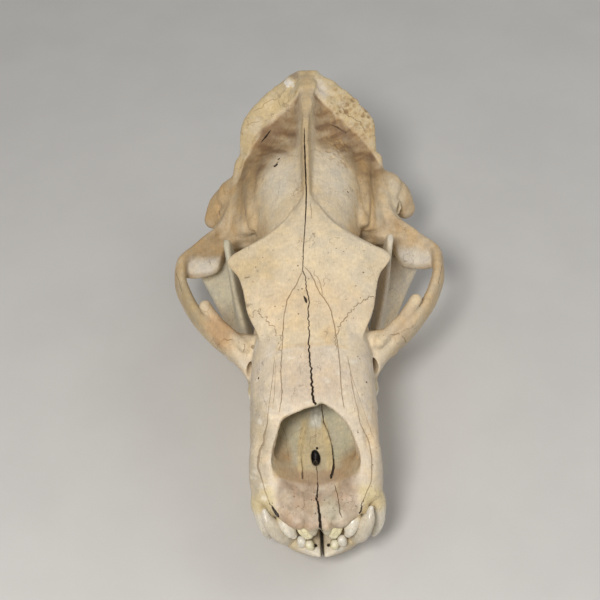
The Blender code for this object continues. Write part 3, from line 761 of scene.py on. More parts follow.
def left_hollows():
    """Pits and passages cut on the left side."""
    infraorbital = sweep(
        [(58, 102, 97), (49, 117, 98), (43, 135, 99), (38, 151, 100)], (0, 0, 1),
        [6, 5.5, 5.5, 6], [3.4, 3, 3.2, 3.8],
    )
    ear_hole = sweep([(86, 300, 92), (70, 306, 91), (56, 310, 90)], (0, 0, 1), [4.5, 4.2, 3.5], [4.5, 4, 3])
    fissure = sweep([(10.5, 34, 56), (11, 37, 73.5)], (0, 1, 0), 6.0, 2.2)
    trough = [(44, 271, 75), (60, 269, 75), (74, 265, 75.5), (94, 258, 77)]
    hinge_trough = sweep(trough, (0, 0, 1), 9.5, 8.5)
    return [infraorbital, ear_hole, fissure, hinge_trough]


def midline_hollows():
    """The throat, the vault of the palate, the hole for the spinal cord and the one in the palate."""
    throat = loft(
        np.arange(196, 268, 2),
        half_width=profile((196, 8), (210, 13), (240, 13), (267, 12)),
        top=profile((196, 74), (206, 86), (240, 87), (267, 85)),
        bottom=55,
        upper=2.4,
        lower=6,
    )
    palate_vault = loft(
        np.arange(22, 206, 2),
        half_width=profile((22, 12), (40, 28), (70, 30), (120, 31), (170, 33), (196, 30), (205, 26)),
        top=profile((22, 65), (40, 70), (100, 72.5), (170, 72.5), (205, 72)),
        bottom=50,
        upper=2.2,
        lower=8,
    )
    nerve_hole = sweep(
        [(0, 402, 99), (0, 380, 99), (0, 358, 102), (0, 330, 108), (0, 300, 112)], (1, 0, 0),
        [15, 14, 16, 19, 16], [13, 12, 13.5, 16, 14],
    )
    palate_hole = sweep(
        [(0, 47, 55), (0, 48, 70), (0, 52, 74.5), (0, 57, 79), (0, 57, 95)], (0, 1, 0),
        [2.4, 2.4, 4.2, 5.8, 5.8], [1.8, 1.8, 2.3, 2.7, 2.7],
    )
    return [throat, palate_vault, nerve_hole, palate_hole]


def incisor_sockets():
    """Lumps of bone round the third and the lost first incisor, on the left."""
    return [ball((31.9, 17, 70), (4, 5, 9)), ball((5.4, 2.8, 66.5), (4.2, 3.8, 8))]


CALM_STEPS = 5


def calmed(obj):
    """Smooths the creases between the forms of the temple and the ear, and the nose's floor in front."""
    x, s, z = points_of(obj).T
    wide = np.abs(x)
    temple = ease(wide, 38, 46) * ease(wide, 80, 72) * ease(s, 264, 282) * ease(s, 352, 340)
    temple *= ease(z, 86, 93) * ease(z, 142, 130)
    plate = ease(wide, 34, 28) * ease(s, 2, 8) * ease(s, 62, 46) * ease(z, 72, 76) * ease(z, 94, 88)
    plate *= ease((x / 6) ** 2 + ((s - 58) / 10) ** 2, 0.9, 1.5)
    share = np.round(np.maximum(temple, 0.8 * plate) * CALM_STEPS)
    group = obj.vertex_groups.new(name="calm")
    for step in range(1, CALM_STEPS + 1):
        group.add(np.flatnonzero(share == step).tolist(), step / CALM_STEPS, "REPLACE")
    smooth = obj.modifiers.new("calm", "SMOOTH")
    smooth.factor = 0.5
    smooth.iterations = 100
    smooth.vertex_group = group.name
    return apply_modifiers(obj)


def cranium_skin():
    """The plain cranium: all its forms as one skin, less the hollows."""
    left = [*ear_region(), *jaw_joint(), *cheek_arch(), *root_bulges(), *skull_base(), nuchal_crest()]
    left += [temple_gutter(), tooth_socket_wall(), *incisor_sockets()]
    middle = [core(), tooth_bearing_ledge(), forehead_shield(), sagittal_crest(), *occiput()]
    whole = fused("cranium", middle + on_both_sides(left), VOXEL, SOFTENING)
    hollows = [*nasal_hollow(), *midline_hollows(), *on_both_sides(left_hollows())]
    cutters = fused("hollows", hollows, VOXEL * 0.8)
    return calmed(skinned(less(whole, cutters), VOXEL, 1))


# Relief of the cranium


# front edge of the bright, raised band on the flange
FLANGE_FRONT = profile(
    (-60, 322), (-52.2, 338.6), (-45.5, 348), (-36.6, 356), (-20.9, 363.6), (-6, 369), (3, 371.5),
    (11.9, 370), (26, 360.6), (38.5, 355), (48.5, 349.7), (56.9, 343), (61, 336),
)


def cranium_relief(points, normals):
    """How far the weathered skin stands out from the plain forms, and how porous it is."""
    x, s, z = points.T
    wide = np.abs(x)
    height = 0.30 * rough(points, 16, 2, 1) + 0.16 * rough(points, 5, 2, 2) + 0.07 * noise(points, 1.9, 5)

    # lengthways grain of the snout and forehead
    snout = ease(s, 190, 150)
    height += 0.10 * snout * noise(points, (1.9, 16, 3.0), 6)

    # folds and streaks on the side walls, running from the flange down to the cheek arch
    walls = ease(s, 232, 262) * ease(s, 372, 350) * ease(wide, 24, 38)
    walls *= ease(z, 158, 146) * ease(z, 92, 104)
    fan = np.column_stack([x * 0.3, (s - 330) * 0.25 + z * 0.2, z * 0.9 + s * 0.35])
    height += walls * (0.4 * noise(fan, (9, 9, 9), 9) + 0.22 * noise(fan, (3, 3, 3), 12))

    # muscle-worn crests
    crest = ease(wide, 7, 2) * ease(s, 235, 262) * ease(z, 150, 160)
    flange = ease(s, 320, 336) * ease(z, 116, 132) * ease(normals[:, 2], -0.1, 0.35)
    beyond = s - FLANGE_FRONT(x) + 1.2 * noise(points, 9, 16)
    gutter = ease(beyond, -26, -5) * ease(beyond, 0.5, -3.5) * ease(wide, 5, 14)
    height += crest * 0.35 * rough(points, (2.5, 9, 2.5), 2, 15)
    height += flange * (0.35 * rough(points, 4.5, 2, 17) + 1.5 * ease(beyond, -3, 2) - 1.3 * gutter)

    # spongy bone: the left half of the flange, its edge and a field below it
    porous = patch(points, (33, 370, 156), (20, 16, 16), 0.7, 0.5, 8, 20) * ease(normals[:, 2], -0.2, 0.3)
    porous += 0.75 * patch(points, (28, 322, 146), (11, 24, 12), 0.8, 0.7, 7, 23)
    porous += 0.5 * patch(points, (50, 362, 148), (14, 18, 18), 0.8, 0.3, 8, 26)
    porous = np.clip(porous, 0, 1)
    some = porous > 0.02
    spots = points[some]
    coarse = ease(pits(spots, 4.6), 0.62, 0.2) * ease(noise(spots, 7, 31), -0.35, 0.25)
    fine = ease(pits(spots, 2.3, 5), 0.5, 0.15) * ease(noise(spots, 5, 33), -0.2, 0.4)
    cell = np.zeros(len(points))
    cell[some] = np.maximum(coarse, 0.6 * fine)
    height -= porous * (1.7 * cell - 0.3)

    # the ragged rim of the flange
    outward = normals[:, 1] + 0.6 * np.abs(normals[:, 0])
    rim = ease(s, 338, 352) * ease(z, 108, 126) * ease(outward, 0.1, 0.6)
    height += rim * np.where(x > 0, 1.1, 0.5) * rough(points, 5.5, 3, 37)

    # the coarse, swollen front of the snout, and the smoother inside of the nose
    height += 0.32 * ease(s, 36, 30) * ease(z, 66, 71) * rough(points, 4.2, 3, 41)
    height += 1.6 * ease(s, 16, 9) * ease(z, 67, 73) * ease(wide, 24, 17)
    height *= 1 - 0.6 * nose_inside(points)
    return height, porous * cell


def nose_inside(points):
    """1 on the walls and floor inside the nose, 0 elsewhere."""
    x, s, z = points.T
    level = NOSE_ROOM_LEVEL(s)
    rise = np.where(z > level, nose_room_top(s) - level, level - NOSE_ROOM_BOTTOM(s))
    rise = np.maximum(rise, 5)
    away = (np.abs(x) / (NOSE_ROOM_HALF(s) + 0.6)) ** 2.6 + (np.abs(z - level) / (rise + 0.7)) ** 2.6
    room = ease(away, 1.15, 1.02) * ease(s, 38, 41) * ease(s, 140, 134)
    opening = ease(x, NOSE_EDGE_RIGHT(s) - 0.3, NOSE_EDGE_RIGHT(s) + 0.5)
    opening *= ease(x, NOSE_EDGE_LEFT(s) + 0.3, NOSE_EDGE_LEFT(s) - 0.5)
    opening *= ease(s, 30, 34) * ease(s, 68, 67) * ease(z, 76, 77.5)
    return np.maximum(room, opening)


TEMPORAL_LINES = [
    [(-2.5, 262), (-5.5, 253.4), (-13.6, 227.8), (-24, 211.5), (-35.2, 201.9), (-46, 195.5), (-57, 190.5)],
    [(2.5, 258), (6.2, 246), (13.4, 225.4), (24.5, 211.3), (35.4, 201.1), (46.4, 193.1), (56, 189)],
]
NOSE_RIDGES = [
    [(-4.5, 88, 81.5), (-7.5, 80, 80.2), (-10.4, 66, 79.2), (-11.6, 54, 79.2), (-10.4, 38, 79)],
    [(4.5, 88, 81.5), (7.8, 80, 80.2), (11, 68, 79.3), (12, 54, 79.4), (10.8, 38, 79)],
]


def broad_marks(obj):
    """Low ridges and gutters, laid on before the fine lines."""
    marks = Marks(obj)
    for seed, route in enumerate(TEMPORAL_LINES):
        marks.line(route, 3.4, -0.75, 0, 0.5, 9, 14, seed)
    for route in NOSE_RIDGES:
        marks.line(route, 2.6, -1.7, 0, 0, 9, 8)
    marks.line([(1.0, 128, 93.5), (1.8, 112, 88), (1.8, 96, 83.5), (1.5, 84, 80.5)], 4.2, -2.6, 0, 0, 9, 8)
    marks.line([(0.5, 78, 79), (0.8, 66, 78.6), (0.8, 46, 78.6)], 4.5, 0.8, 0, 0, 9, 10)
    for side, far in ((RIGHT, 44), (LEFT, 46)):
        fold = [(side * 52, 262, 105), (side * 49, 290, 112), (side * far, 322, 124)]
        gutter = [(side * 44, 258, 116), (side * 44, 280, 122), (side * 40, 312, 132)]
        marks.line(fold, 5, -1.1, 0, 1.2, 14, 18, 5)
        marks.line(gutter, 4.5, 1.0, 0, 1.5, 14, 18, 7)
    for route in (SNOUT_SIDE_RIGHT[3:7], SNOUT_SIDE_LEFT[3:7]):
        marks.line(route, 3.2, 1.0, 0, 0.6, 9, 12, 3)
    return marks


MIDLINE = [
    (-0.9, 319), (-0.9, 310), (-0.7, 282), (-0.6, 250), (-2.2, 213), (-3.9, 189), (-4.5, 179), (-5.2, 171),
]
NASAL_RIGHT = [
    (-5.2, 171), (-10.9, 159.6), (-16.3, 151), (-19.6, 137.7), (-21.4, 113.7), (-22.4, 95.3), (-22.0, 80),
    (-24, 62.5),
]
NASAL_LEFT = [
    (-3.6, 176), (-1.5, 173.2), (2.6, 166), (6.7, 155.9), (14.4, 143.2), (18.1, 124.2), (19.9, 97.6),
    (20.2, 80), (21.4, 62.5),
]
NASAL_MIDDLE = [
    (-4.6, 172), (-2.9, 165), (-2.2, 158), (-1.2, 149), (-1.6, 130), (-1.9, 110), (-0.9, 93), (-0.6, 81),
    (0.4, 68), (1.6, 64),
]
BROW_RIGHT = [
    (-49, 137, 127), (-45, 144.3, 133.5), (-41.9, 145.3, 136.5), (-38.8, 147.1, 139),
    (-34.4, 140.7, 138.5), (-30.1, 135.1, 137), (-27.2, 131.8, 136.5), (-24.3, 125.5, 134.5),
    (-22.9, 118.3, 133.3), (-22.2, 110, 132.5),
]
BROW_LEFT = [
    (17.6, 110, 134), (17.1, 118.3, 135), (18.8, 124.4, 135.8), (22, 131.7, 137), (25.9, 138, 139),
    (30.6, 143.5, 140.5), (35.2, 147.6, 141), (40.6, 152, 141.3), (46, 155.4, 140.4), (50, 151, 136),
]
SNOUT_SIDE_RIGHT = [
    (-27, 108), (-28.5, 92), (-30.1, 79.5), (-32.9, 58.9), (-36.9, 50, 108.6), (-40.9, 37.1, 96.9),
    (-39, 31.8, 92.2), (-36.7, 24.4, 84.6), (-33, 14, 79),
]
SNOUT_SIDE_LEFT = [
    (26, 106), (27.4, 92), (28.8, 77.8), (32.3, 57.2), (38.1, 48.7, 106.6), (39.3, 38.1, 97.4),
    (38.5, 27.6, 88.2), (33.3, 19, 81.4), (28.9, 10.9, 76.4),
]


# route, half width, depth, darkness, wander, its period, taper and seed of lines on the skin
SEAMS = [
    # the open crack along the crest, and the seam between the nasal bones
    (MIDLINE, [0.3, 0.5, 0.78, 0.6, 0.34, 0.3, 0.3, 0.3], [2, 4.5, 6, 5, 2, 1.4, 1.2, 1.0],
     1.15, 0.25, 7, 6, 1),
    (NASAL_MIDDLE, [0.3, 0.3, 0.36, 0.36, 0.38, 0.5, 0.6, 0.7, 0.8, 0.9],
     [0.8, 0.9, 1.4, 1.6, 1.8, 2, 2.2, 2.2, 2.2, 2.2], 1.1, 0.55, 2.6, 0, 2),
    (NASAL_RIGHT, [0.34, 0.36, 0.36, 0.36, 0.36, 0.36, 0.34, 0.32], 1.0, 0.56, 0.4, 3.5, 3, 3),
    (NASAL_LEFT, [0.3, 0.34, 0.4, 0.42, 0.4, 0.34, 0.34, 0.32, 0.3], 1.0, 0.56, 0.4, 3.2, 3, 4),
    ([(4, 172.5), (3.4, 169), (6, 167), (8.5, 160), (9.5, 152)], 0.3, 0.7, 0.5, 0.5, 2.6, 3, 5),
    # saw-toothed seams between forehead and cheek
    (BROW_RIGHT, 0.30, 0.7, 0.6, 2.1, 1.9, 3, 6),
    (BROW_LEFT, 0.30, 0.7, 0.6, 2.1, 1.9, 3, 7),
    ([(50, 151, 136), (53, 143, 129), (56, 139, 121)], 0.32, 0.6, 0.5, 0.8, 3, 3, 8),
    ([(-49, 137, 127), (-50, 131, 118), (-52, 128, 108)], 0.32, 0.6, 0.5, 0.8, 3, 3, 9),
    # seams down the sides of the snout
    (SNOUT_SIDE_RIGHT, [0.3, 0.3, 0.3, 0.4, 0.7, 0.7, 0.45, 0.4, 0.4], 0.9, 0.42, 0.3, 4, 4, 10),
    (SNOUT_SIDE_LEFT, 0.36, 0.8, 0.45, 0.3, 4, 4, 11),
    ([(-26.5, 104), (-27, 90), (-27.3, 78), (-29, 66)], 0.28, 0.5, 0.4, 0.3, 5, 5, 12),
    ([(26.8, 98), (31, 80), (36, 64), (41, 52, 104)], 0.28, 0.5, 0.4, 0.4, 5, 5, 13),
    # premaxilla: middle seam, a hairline beside it, and the gaps behind the last incisors
    ([(0.4, 49, 78.6), (0.9, 42, 78.6), (0.8, 34, 79)], 0.3, 0.7, 0.8, 0.2, 4, 3, 14),
    ([(0.8, 34), (0.2, 26), (-0.2, 17.5), (0.6, 8.7), (1.4, 2.9)], [0.35, 0.45, 0.7, 0.75, 1.0],
     [1.2, 2, 2.6, 3, 4], 1.1, 0.4, 3, 0, 15),
    ([(1.4, 2.9, 73.7), (1.6, 1.2, 70), (1.4, 0.6, 66)], [1.0, 1.1, 1.2], 3, 1.1, 0.2, 3, 0, 16),
    ([(12.6, 29.4), (14.4, 17), (15.3, 7.4), (16.4, 3.4)], 0.32, 0.7, 0.8, 0.4, 4, 3, 17),
    ([(-6, 27), (-10, 22), (-9, 14), (-12, 9)], 0.28, 0.4, 0.35, 0.6, 4, 3, 18),
    ([(-33, 17, 79), (-30, 13, 77), (-27.6, 10.6, 75)], [0.4, 1.2, 1.8], 1.6, 1.0, 0, 9, 0, 19),
    ([(32, 17, 80), (30, 13, 77.5), (29.2, 10.6, 75)], [0.4, 1.1, 1.7], 1.6, 1.0, 0, 9, 0, 20),
    # floor of the nose
    ([(6, 100, 84.8), (7.7, 84, 81), (10.4, 75.5, 80), (12.6, 62, 79.6), (12.4, 50, 79.6), (10.6, 36, 79)],
     [0.3, 0.35, 0.4, 0.5, 0.7, 1.2], 1.5, 1.0, 0.3, 4, 4, 21),
    ([(-10.4, 54, 79.2), (-11, 46, 79), (-10, 36.5, 79)], [0.3, 0.4, 1.1], 1.2, 0.8, 0, 4, 4, 22),
    ([(0.4, 92, 82), (1, 80, 80), (0.6, 68, 78.6)], 0.24, 0.3, 0.35, 0.3, 5, 5, 23),
    ([(-24, 84, 86), (-20, 70, 82), (-19, 52, 81.5)], 0.26, 0.3, 0.4, 0.6, 6, 5, 24),
    # slits under the flange and a nick in the forehead
    ([(21, 350.5, 151), (28, 348.5, 147.5), (35, 347, 143.5)], [0.4, 0.9, 0.4], 1.0, 0.8, 0.5, 3, 2, 23),
    ([(-31.5, 351, 146.3), (-36, 347.5, 142.5), (-40.5, 344.5, 139)],
     [0.6, 1.1, 0.6], 2.2, 1.0, 0.3, 3, 2, 25),
    ([(-4.6, 152.5), (-3.1, 149.2), (-2.6, 147)], [0.5, 0.9, 0.5], 1.2, 1.0, 0.2, 3, 1, 26),
    # the seam of the parietal bones near the flange, and hairlines on flange and forehead
    ([(-31, 301, 144.4), (-21.3, 306.1, 149.6), (-14.6, 308, 152), (-6, 301, 158)],
     0.3, 0.5, 0.35, 0.8, 5, 5, 27),
    ([(8, 306, 155), (16.4, 298.6, 152.1), (21, 288, 150.5)], 0.3, 0.5, 0.3, 0.6, 5, 5, 28),
    ([(-24, 374), (-30, 374.5), (-34.4, 373), (-38, 369.6), (-46.7, 367.8)],
     0.3, 0.6, 0.45, 1.2, 3.4, 3, 29),
    ([(-52, 359, 145), (-46, 360, 146.5), (-40, 359.7, 148)], 0.28, 0.5, 0.4, 0.9, 3.4, 3, 30),
    ([(-20, 379), (-24, 372), (-22, 366)], 0.26, 0.4, 0.4, 0.8, 3.4, 3, 31),
    ([(19.5, 200.8), (24, 199.9)], 0.3, 0.5, 0.6, 0.2, 3, 1, 32),
    ([(-49, 171.4), (-44.4, 171.1)], 0.45, 0.5, 0.5, 0.2, 3, 1, 33),
    ([(2.2, 236), (3.4, 228), (2.6, 219)], 0.28, 0.5, 0.5, 0.7, 3, 2, 34),
    ([(30, 366), (36, 360), (44, 357), (50, 350, 141)], 0.4, 0.8, 0.42, 1.2, 4, 3, 35),
]
# the same for the seams of the cheek arches, on both sides
ARCH_SEAMS = [
    ([(108, 224, 104), (104, 212, 106), (99, 203, 105), (92, 190, 103), (84, 178, 99), (79, 168, 96)],
     0.4, 0.9, 0.75, 0.6, 3.6, 3, 36),
    ([(60, 142, 113), (66, 150, 103), (70, 156, 92)], 0.32, 0.7, 0.5, 0.9, 3, 3, 40),
    ([(62, 262, 104), (50, 266, 102), (40, 256, 112)], 0.32, 0.6, 0.4, 0.9, 4, 4, 43),
]
# place, radius, depth and darkness
HOLES = [
    ((-24.9, 301.4, 148), 2.1, 2.6, 1.1), ((-23.6, 305, 149), 1.8, 2.4, 1.1),
    ((-22.6, 308, 149.6), 1.1, 2.0, 1.1), ((33.2, 273, 141.4), 0.9, 1.4, 1.0),
    ((-39.4, 97.2, 120.2), 1.0, 1.6, 1.0), ((39.0, 90.6, 119.9), 0.9, 1.6, 1.0),
    ((-43.9, 134.7, 111.9), 1.5, 1.2, 0.5),
]


def fine_marks(obj):
    """Sutures, cracks, holes and pores."""
    marks = Marks(obj)
    for seam in SEAMS:
        marks.line(*seam)
    for hole in HOLES:
        marks.spot(*hole)
    for side in (RIGHT, LEFT):
        for route, *shape, seed in ARCH_SEAMS:
            marks.line([(side * x, s, z) for x, s, z in route], *shape, seed + side)

    # pores, scattered thinly over the roof of the skull but not into the nose, and over the premaxilla
    chance = np.random.default_rng(5)
    for x, s, size in zip(chance.uniform(-44, 44, 130), chance.uniform(4, 200, 130), chance.random(130)):
        if abs(x) > 30 or s > 130 or s < 26:
            marks.spot((x, s), 0.35 + 0.35 * size**3, 0.7, 0.7)
    for x, s, size in zip(chance.uniform(-26, 26, 30), chance.uniform(3, 27, 30), chance.random(30)):
        marks.spot((x, s), 0.35 + 0.35 * size**2, 0.5, 0.45)
    return marks


# Colours, as light reflected


TAN = np.array([0.68, 0.545, 0.36])
IVORY = np.array([0.70, 0.60, 0.445])
CHALK = np.array([0.675, 0.58, 0.46])
WHITISH = np.array([0.74, 0.69, 0.60])
YELLOW = np.array([0.66, 0.55, 0.30])
OCHRE = np.array([0.56, 0.37, 0.17])
RUST = np.array([0.46, 0.26, 0.11])
UMBER = np.array([0.26, 0.155, 0.085])
# dark brown laid in the hollows under the flange
UNDER_FLANGE_BROWN = np.array([0.225, 0.125, 0.055])
SEAM_BROWN = np.array([0.20, 0.13, 0.075])
# near black, laid on as painted shade in deep cracks and holes, the hole in the palate and the gap between
# the jaw halves
SHADE_BLACK = np.array([0.035, 0.024, 0.016])
GREY_BROWN = np.array([0.33, 0.245, 0.17])
GREY_TAN = np.array([0.47, 0.41, 0.31])
GREENISH = np.array([0.53, 0.50, 0.36])
PINKISH = np.array([0.50, 0.36, 0.255])

# colour, strength, middle and radii of broad stains, pale areas and some painted shade
BLOTS = [
    (WHITISH, 0.45, (-23, 278, 152), (15, 27, 14)),
    (WHITISH, 0.40, (23, 282, 152), (15, 29, 14)),
    ((0.37, 0.26, 0.14), 0.70, (-84, 257, 98), (26, 18, 14)),
    (WHITISH, 0.85, (-85, 238, 95), (21, 9, 9)),
    (WHITISH, 0.80, (86, 239, 95), (21, 10, 9)),
    ((0.78, 0.67, 0.49), 0.65, (73, 307, 98), (15, 18, 14)),
    (OCHRE, 0.30, (67, 150, 88), (10, 15, 13)),
    (OCHRE, 0.35, (-77, 319, 96), (14, 20, 16)),
    ((0.54, 0.42, 0.25), 0.80, (-44, 180, 151), (18, 18, 9)),
    (GREY_TAN, 0.45, (46, 179, 150), (10, 12, 8)),
    ((0.44, 0.34, 0.19), 0.75, (-94, 188, 107), (14, 38, 14)),
    (OCHRE, 0.25, (95, 190, 105), (13, 34, 14)),
    # painted shade on the inner face of the animal's right cheek arch
    (RUST, 0.70, (-68, 153, 109), (13, 18, 10)),
    (RUST, 0.30, (70, 153, 109), (13, 16, 9)),
    (GREY_TAN, 0.70, (-41, 56, 109), (9, 29, 14)),
    (GREY_TAN, 0.75, (-43, 33, 92), (7, 16, 16)),
    (GREY_TAN, 0.40, (44, 34, 93), (7, 15, 14)),
    (PINKISH, 0.34, (0, 84, 130), (24, 22, 12)),
    (RUST, 0.16, (0, 150, 143), (42, 20, 14)),
    # painted shadow and shade beside each coronoid tip of the jaw
    (RUST, 0.75, (-62, 227, 112), (9, 10, 18)),
    (RUST, 0.80, (66, 226, 112), (9, 10, 18)),
]


def blend(colour, other, share):
    """Colours moved towards another one by a share from 0 to 1."""
    return colour + (np.asarray(other) - colour) * np.clip(share, 0, 1)[:, None]


def darkened(colour, dark):
    """Seams and shallow pores are brown; deep cracks and holes get painted shade, almost black."""
    return blend(blend(colour, SEAM_BROWN, 1.05 * dark), SHADE_BLACK, 0.95 * ease(dark, 0.62, 1.0))


class Paint:
    """The colour of each point of a bone, laid on in coats."""

    def __init__(self, points, normals, mottle, base):
        self.points, self.normals, self.mottle = points, normals, mottle
        self.x, self.s, self.z = points.T
        self.wide = np.abs(self.x)
        _, self.facing_back, self.facing_up = normals.T
        self.colour = np.tile(base, (len(points), 1))

    def coat(self, shade, share):
        """Lays a colour on, as thick as share says for each point."""
        self.colour = blend(self.colour, shade, share)

    def spot(self, shade, strength, centre, radii, soft, ragged, grain, seed):
        """Lays a colour on in one patch."""
        self.coat(shade, strength * patch(self.points, centre, radii, soft, ragged, grain, seed))

    def finished(self, shading, dark):
        """The colours made a little lighter and darker, with the marks in them."""
        return np.clip(darkened(self.colour * (1 + shading)[:, None], dark), 0, 0.9)


def paint_snout_roof(p):
    """Whiter bone on the snout, ahead of a line across the nasal bones; gives where that is."""
    s, wide = p.s, p.wide
    middle_line = 113 + 1.5 * noise(p.points, 6, 60)
    middle, sides = ease(s, middle_line + 1.5, middle_line - 1.5), ease(s, 150 + 10 * p.mottle, 110)
    ahead = np.where(wide < 26, middle, sides)
    p.coat(CHALK, ahead * (0.85 + 0.3 * p.mottle))
    line_shade = ease(np.abs(s - middle_line - 0.5), 3.0, 0.5) * ease(wide, 28, 24) * ease(p.z, 120, 126)
    p.coat(OCHRE, 0.22 * line_shade)
    p.spot(OCHRE, 0.4, (12, 122, 136), (6, 7, 6), 1.0, 0.5, 6, 61)
    p.spot(OCHRE, 0.3, (-3, 110, 135), (3, 9, 6), 1.0, 0.5, 6, 62)
    return ahead


def paint_temple(p):
    """Side walls and floor of the temple: tan to brown, in streaks."""
    x, s, z, wide = p.x, p.s, p.z, p.wide
    temple = ease(s, 190, 235) * ease(wide, 28, 44) * ease(z, 152, 128)
    p.coat(OCHRE, temple * (0.34 + 0.5 * rough(p.points, (5, 18, 14), 3, 63)))
    p.coat(GREY_BROWN, temple * ease(z, 112, 96) * (0.3 + 0.4 * p.mottle))
    ear = ease(s, 296, 320) * ease(wide, 52, 62) * ease(z, 120, 108)
    p.coat(OCHRE, ear * (0.42 + 0.7 * p.mottle) * np.where(x < 0, 1.0, 0.2))


def paint_flange(p, fleck, cell):
    """Dark brown in the hollows under the flange, painted shade in the gutters beside the braincase, the
    flange itself and the crest.
    """
    points, x, s, z, wide = p.points, p.x, p.s, p.z, p.wide
    beyond = s - FLANGE_FRONT(x) + 1.6 * noise(points, 8, 64)
    streak = rough(np.column_stack([x * 0.45, s * 0.3 + z * 0.3, s - wide]), 7, 3, 66)
    reach = 50 + 13 * rough(points, 14, 2, 67) + np.where(x > 0, -5, 2)
    # darker brown across the hollows under the flange
    under_flange_dark = ease(beyond, -0.5, -3.5) * ease(-beyond, reach + 14, reach - 14) * ease(wide, 3.0, 9.0)
    under_flange_dark *= ease(z, 108, 122) * ease(s + 8 * p.mottle, 282, 312)
    tanned = ease(beyond, 0, -3) * ease(-beyond, 74, 30) * ease(wide, 5, 13) * ease(z, 100, 116)
    p.coat((0.44, 0.285, 0.125), tanned * (0.55 + 0.45 * streak + 0.3 * p.mottle))
    p.coat(UNDER_FLANGE_BROWN, under_flange_dark * (0.62 + 0.25 * fleck + 0.35 * streak))
    p.coat(UMBER * 0.7, under_flange_dark * ease(streak, 0.05, 0.5) * 0.6)
    p.spot(UMBER, 0.6, (-34, 350, 144), (14, 7, 9), 1.0, 0.6, 6, 68)
    p.spot(UMBER, 0.7, (27, 347, 147), (13, 7, 9), 1.0, 0.6, 6, 69)
    # painted shade in the gutter between the braincase and each side wall
    p.spot((0.36, 0.25, 0.13), 0.6, (-50, 308, 122), (10, 32, 18), 1.0, 0.6, 8, 81)
    p.spot((0.46, 0.29, 0.12), 0.5, (49, 300, 121), (10, 32, 18), 1.0, 0.6, 8, 82)

    # yellow rim, chalk-white and grey marks by the middle, dark pores
    flange = ease(beyond, -2.5, 1.0) * ease(s, 318, 334) * ease(z, 112, 128)
    p.coat((0.60, 0.47, 0.265), flange * 0.85)
    p.coat(IVORY, flange * 0.5 * ease(rough(points, 8, 3, 70), 0, 0.5))
    p.spot((0.78, 0.74, 0.68), 0.9, (-14.6, 385, 169), (3.8, 4.6, 5), 1.0, 0.9, 2.4, 71)
    p.spot(GREY_BROWN, 0.8, (-8.9, 391, 171.6), (4.5, 4.5, 5), 0.8, 0.6, 3, 72)
    p.spot((0.70, 0.62, 0.52), 0.8, (12, 378, 166), (6, 10, 8), 0.8, 0.5, 4, 73)
    p.coat(UMBER * 0.6, 0.95 * cell)
    p.coat(OCHRE, 0.35 * ease(cell, 0, 0.15))

    # crest: tan, rubbed paler on top
    p.coat((0.57, 0.43, 0.25), 0.85 * ease(wide, 7, 2) * ease(s, 235, 262) * ease(z, 152, 160))


def paint_cheeks(p):
    """Browner cheeks and eye sockets, with painted shade on the recessed walls inside the eye sockets and
    temples.
    """
    s, z, wide, mottle = p.s, p.z, p.wide, p.mottle
    cheek = ease(wide, 60, 74) * ease(s, 280, 262) * ease(s, 130, 145)
    p.coat(OCHRE, cheek * (0.16 + 0.5 * mottle) * np.where(p.x < 0, 1.2, 0.8))
    front_wall = ease(s, 134, 142) * ease(s, 186, 170) * ease(p.facing_back, 0.15, 0.7) * ease(wide, 40, 50)
    p.coat(OCHRE, front_wall * (0.62 + 0.4 * mottle))
    # painted shade: ochre on the recessed walls under the forehead shield, inside the eye socket and temple
    shaded_inner_wall = ease(wide, 56, 50) * ease(s, 140, 160) * ease(s, 262, 235)
    shaded_inner_wall *= ease(z, 142, 132) * ease(z, 80, 90)
    p.coat(OCHRE, shaded_inner_wall * (0.55 + 0.3 * mottle))


def paint_premaxilla(p, fleck):
    """Yellow-brown patches along the snout, brown down its side gutters, and its mottled pink-brown front;
    gives where the front is.
    """
    s, z, wide, mottle = p.s, p.z, p.wide, p.mottle
    p.spot(OCHRE, 0.30, (-40, 48, 104), (7, 22, 14), 1.0, 0.5, 9, 74)
    p.spot(OCHRE, 0.25, (43, 60, 106), (7, 22, 14), 1.0, 0.5, 9, 75)
    front = ease(s + 3 * mottle, 39, 29) * ease(wide + 5 * mottle, 32, 24) * ease(z, 66, 70)
    p.coat(PINKISH, front * (0.56 + 0.9 * mottle))
    p.coat(GREY_BROWN, front * (0.34 + 0.7 * rough(p.points, (6, 9, 6), 3, 83)))
    p.spot(UMBER, 0.6, (2, 39, 79), (15, 7, 5), 1.0, 0.6, 5, 85)
    p.coat(GREY_BROWN, front * ease(fleck, 0.15, 0.6) * 0.35)
    p.spot(GREENISH * 0.85, 0.55, (9, 10, 79), (8, 8, 6), 1.0, 0.6, 5, 86)
    p.spot(OCHRE, 0.3, (17, 30, 80), (4, 9, 5), 1.0, 0.6, 5, 87)
    # brown down the shallow gutter on each side of the snout: the seam's own tint, with painted shade
    furrow_tint_and_shade = ease(np.abs(wide - profile((20, 35), (38, 40.5), (50, 37.5), (66, 31.5))(s)), 5, 1.5)
    furrow_tint_and_shade *= ease(s, 20, 30) * ease(s, 78, 62) * ease(p.facing_up, -0.1, 0.2)
    p.coat((0.50, 0.38, 0.22), furrow_tint_and_shade * (0.35 + 0.4 * mottle))
    p.coat((0.55, 0.50, 0.38), 0.9 * ease(z, 73, 69) * ease(s, 12, 6) * ease(wide, 22, 16))
    p.coat(YELLOW, 0.7 * ease(wide, 27, 33) * ease(s, 30, 22) * ease(z, 90, 84) * ease(z, 66, 72))
    return front


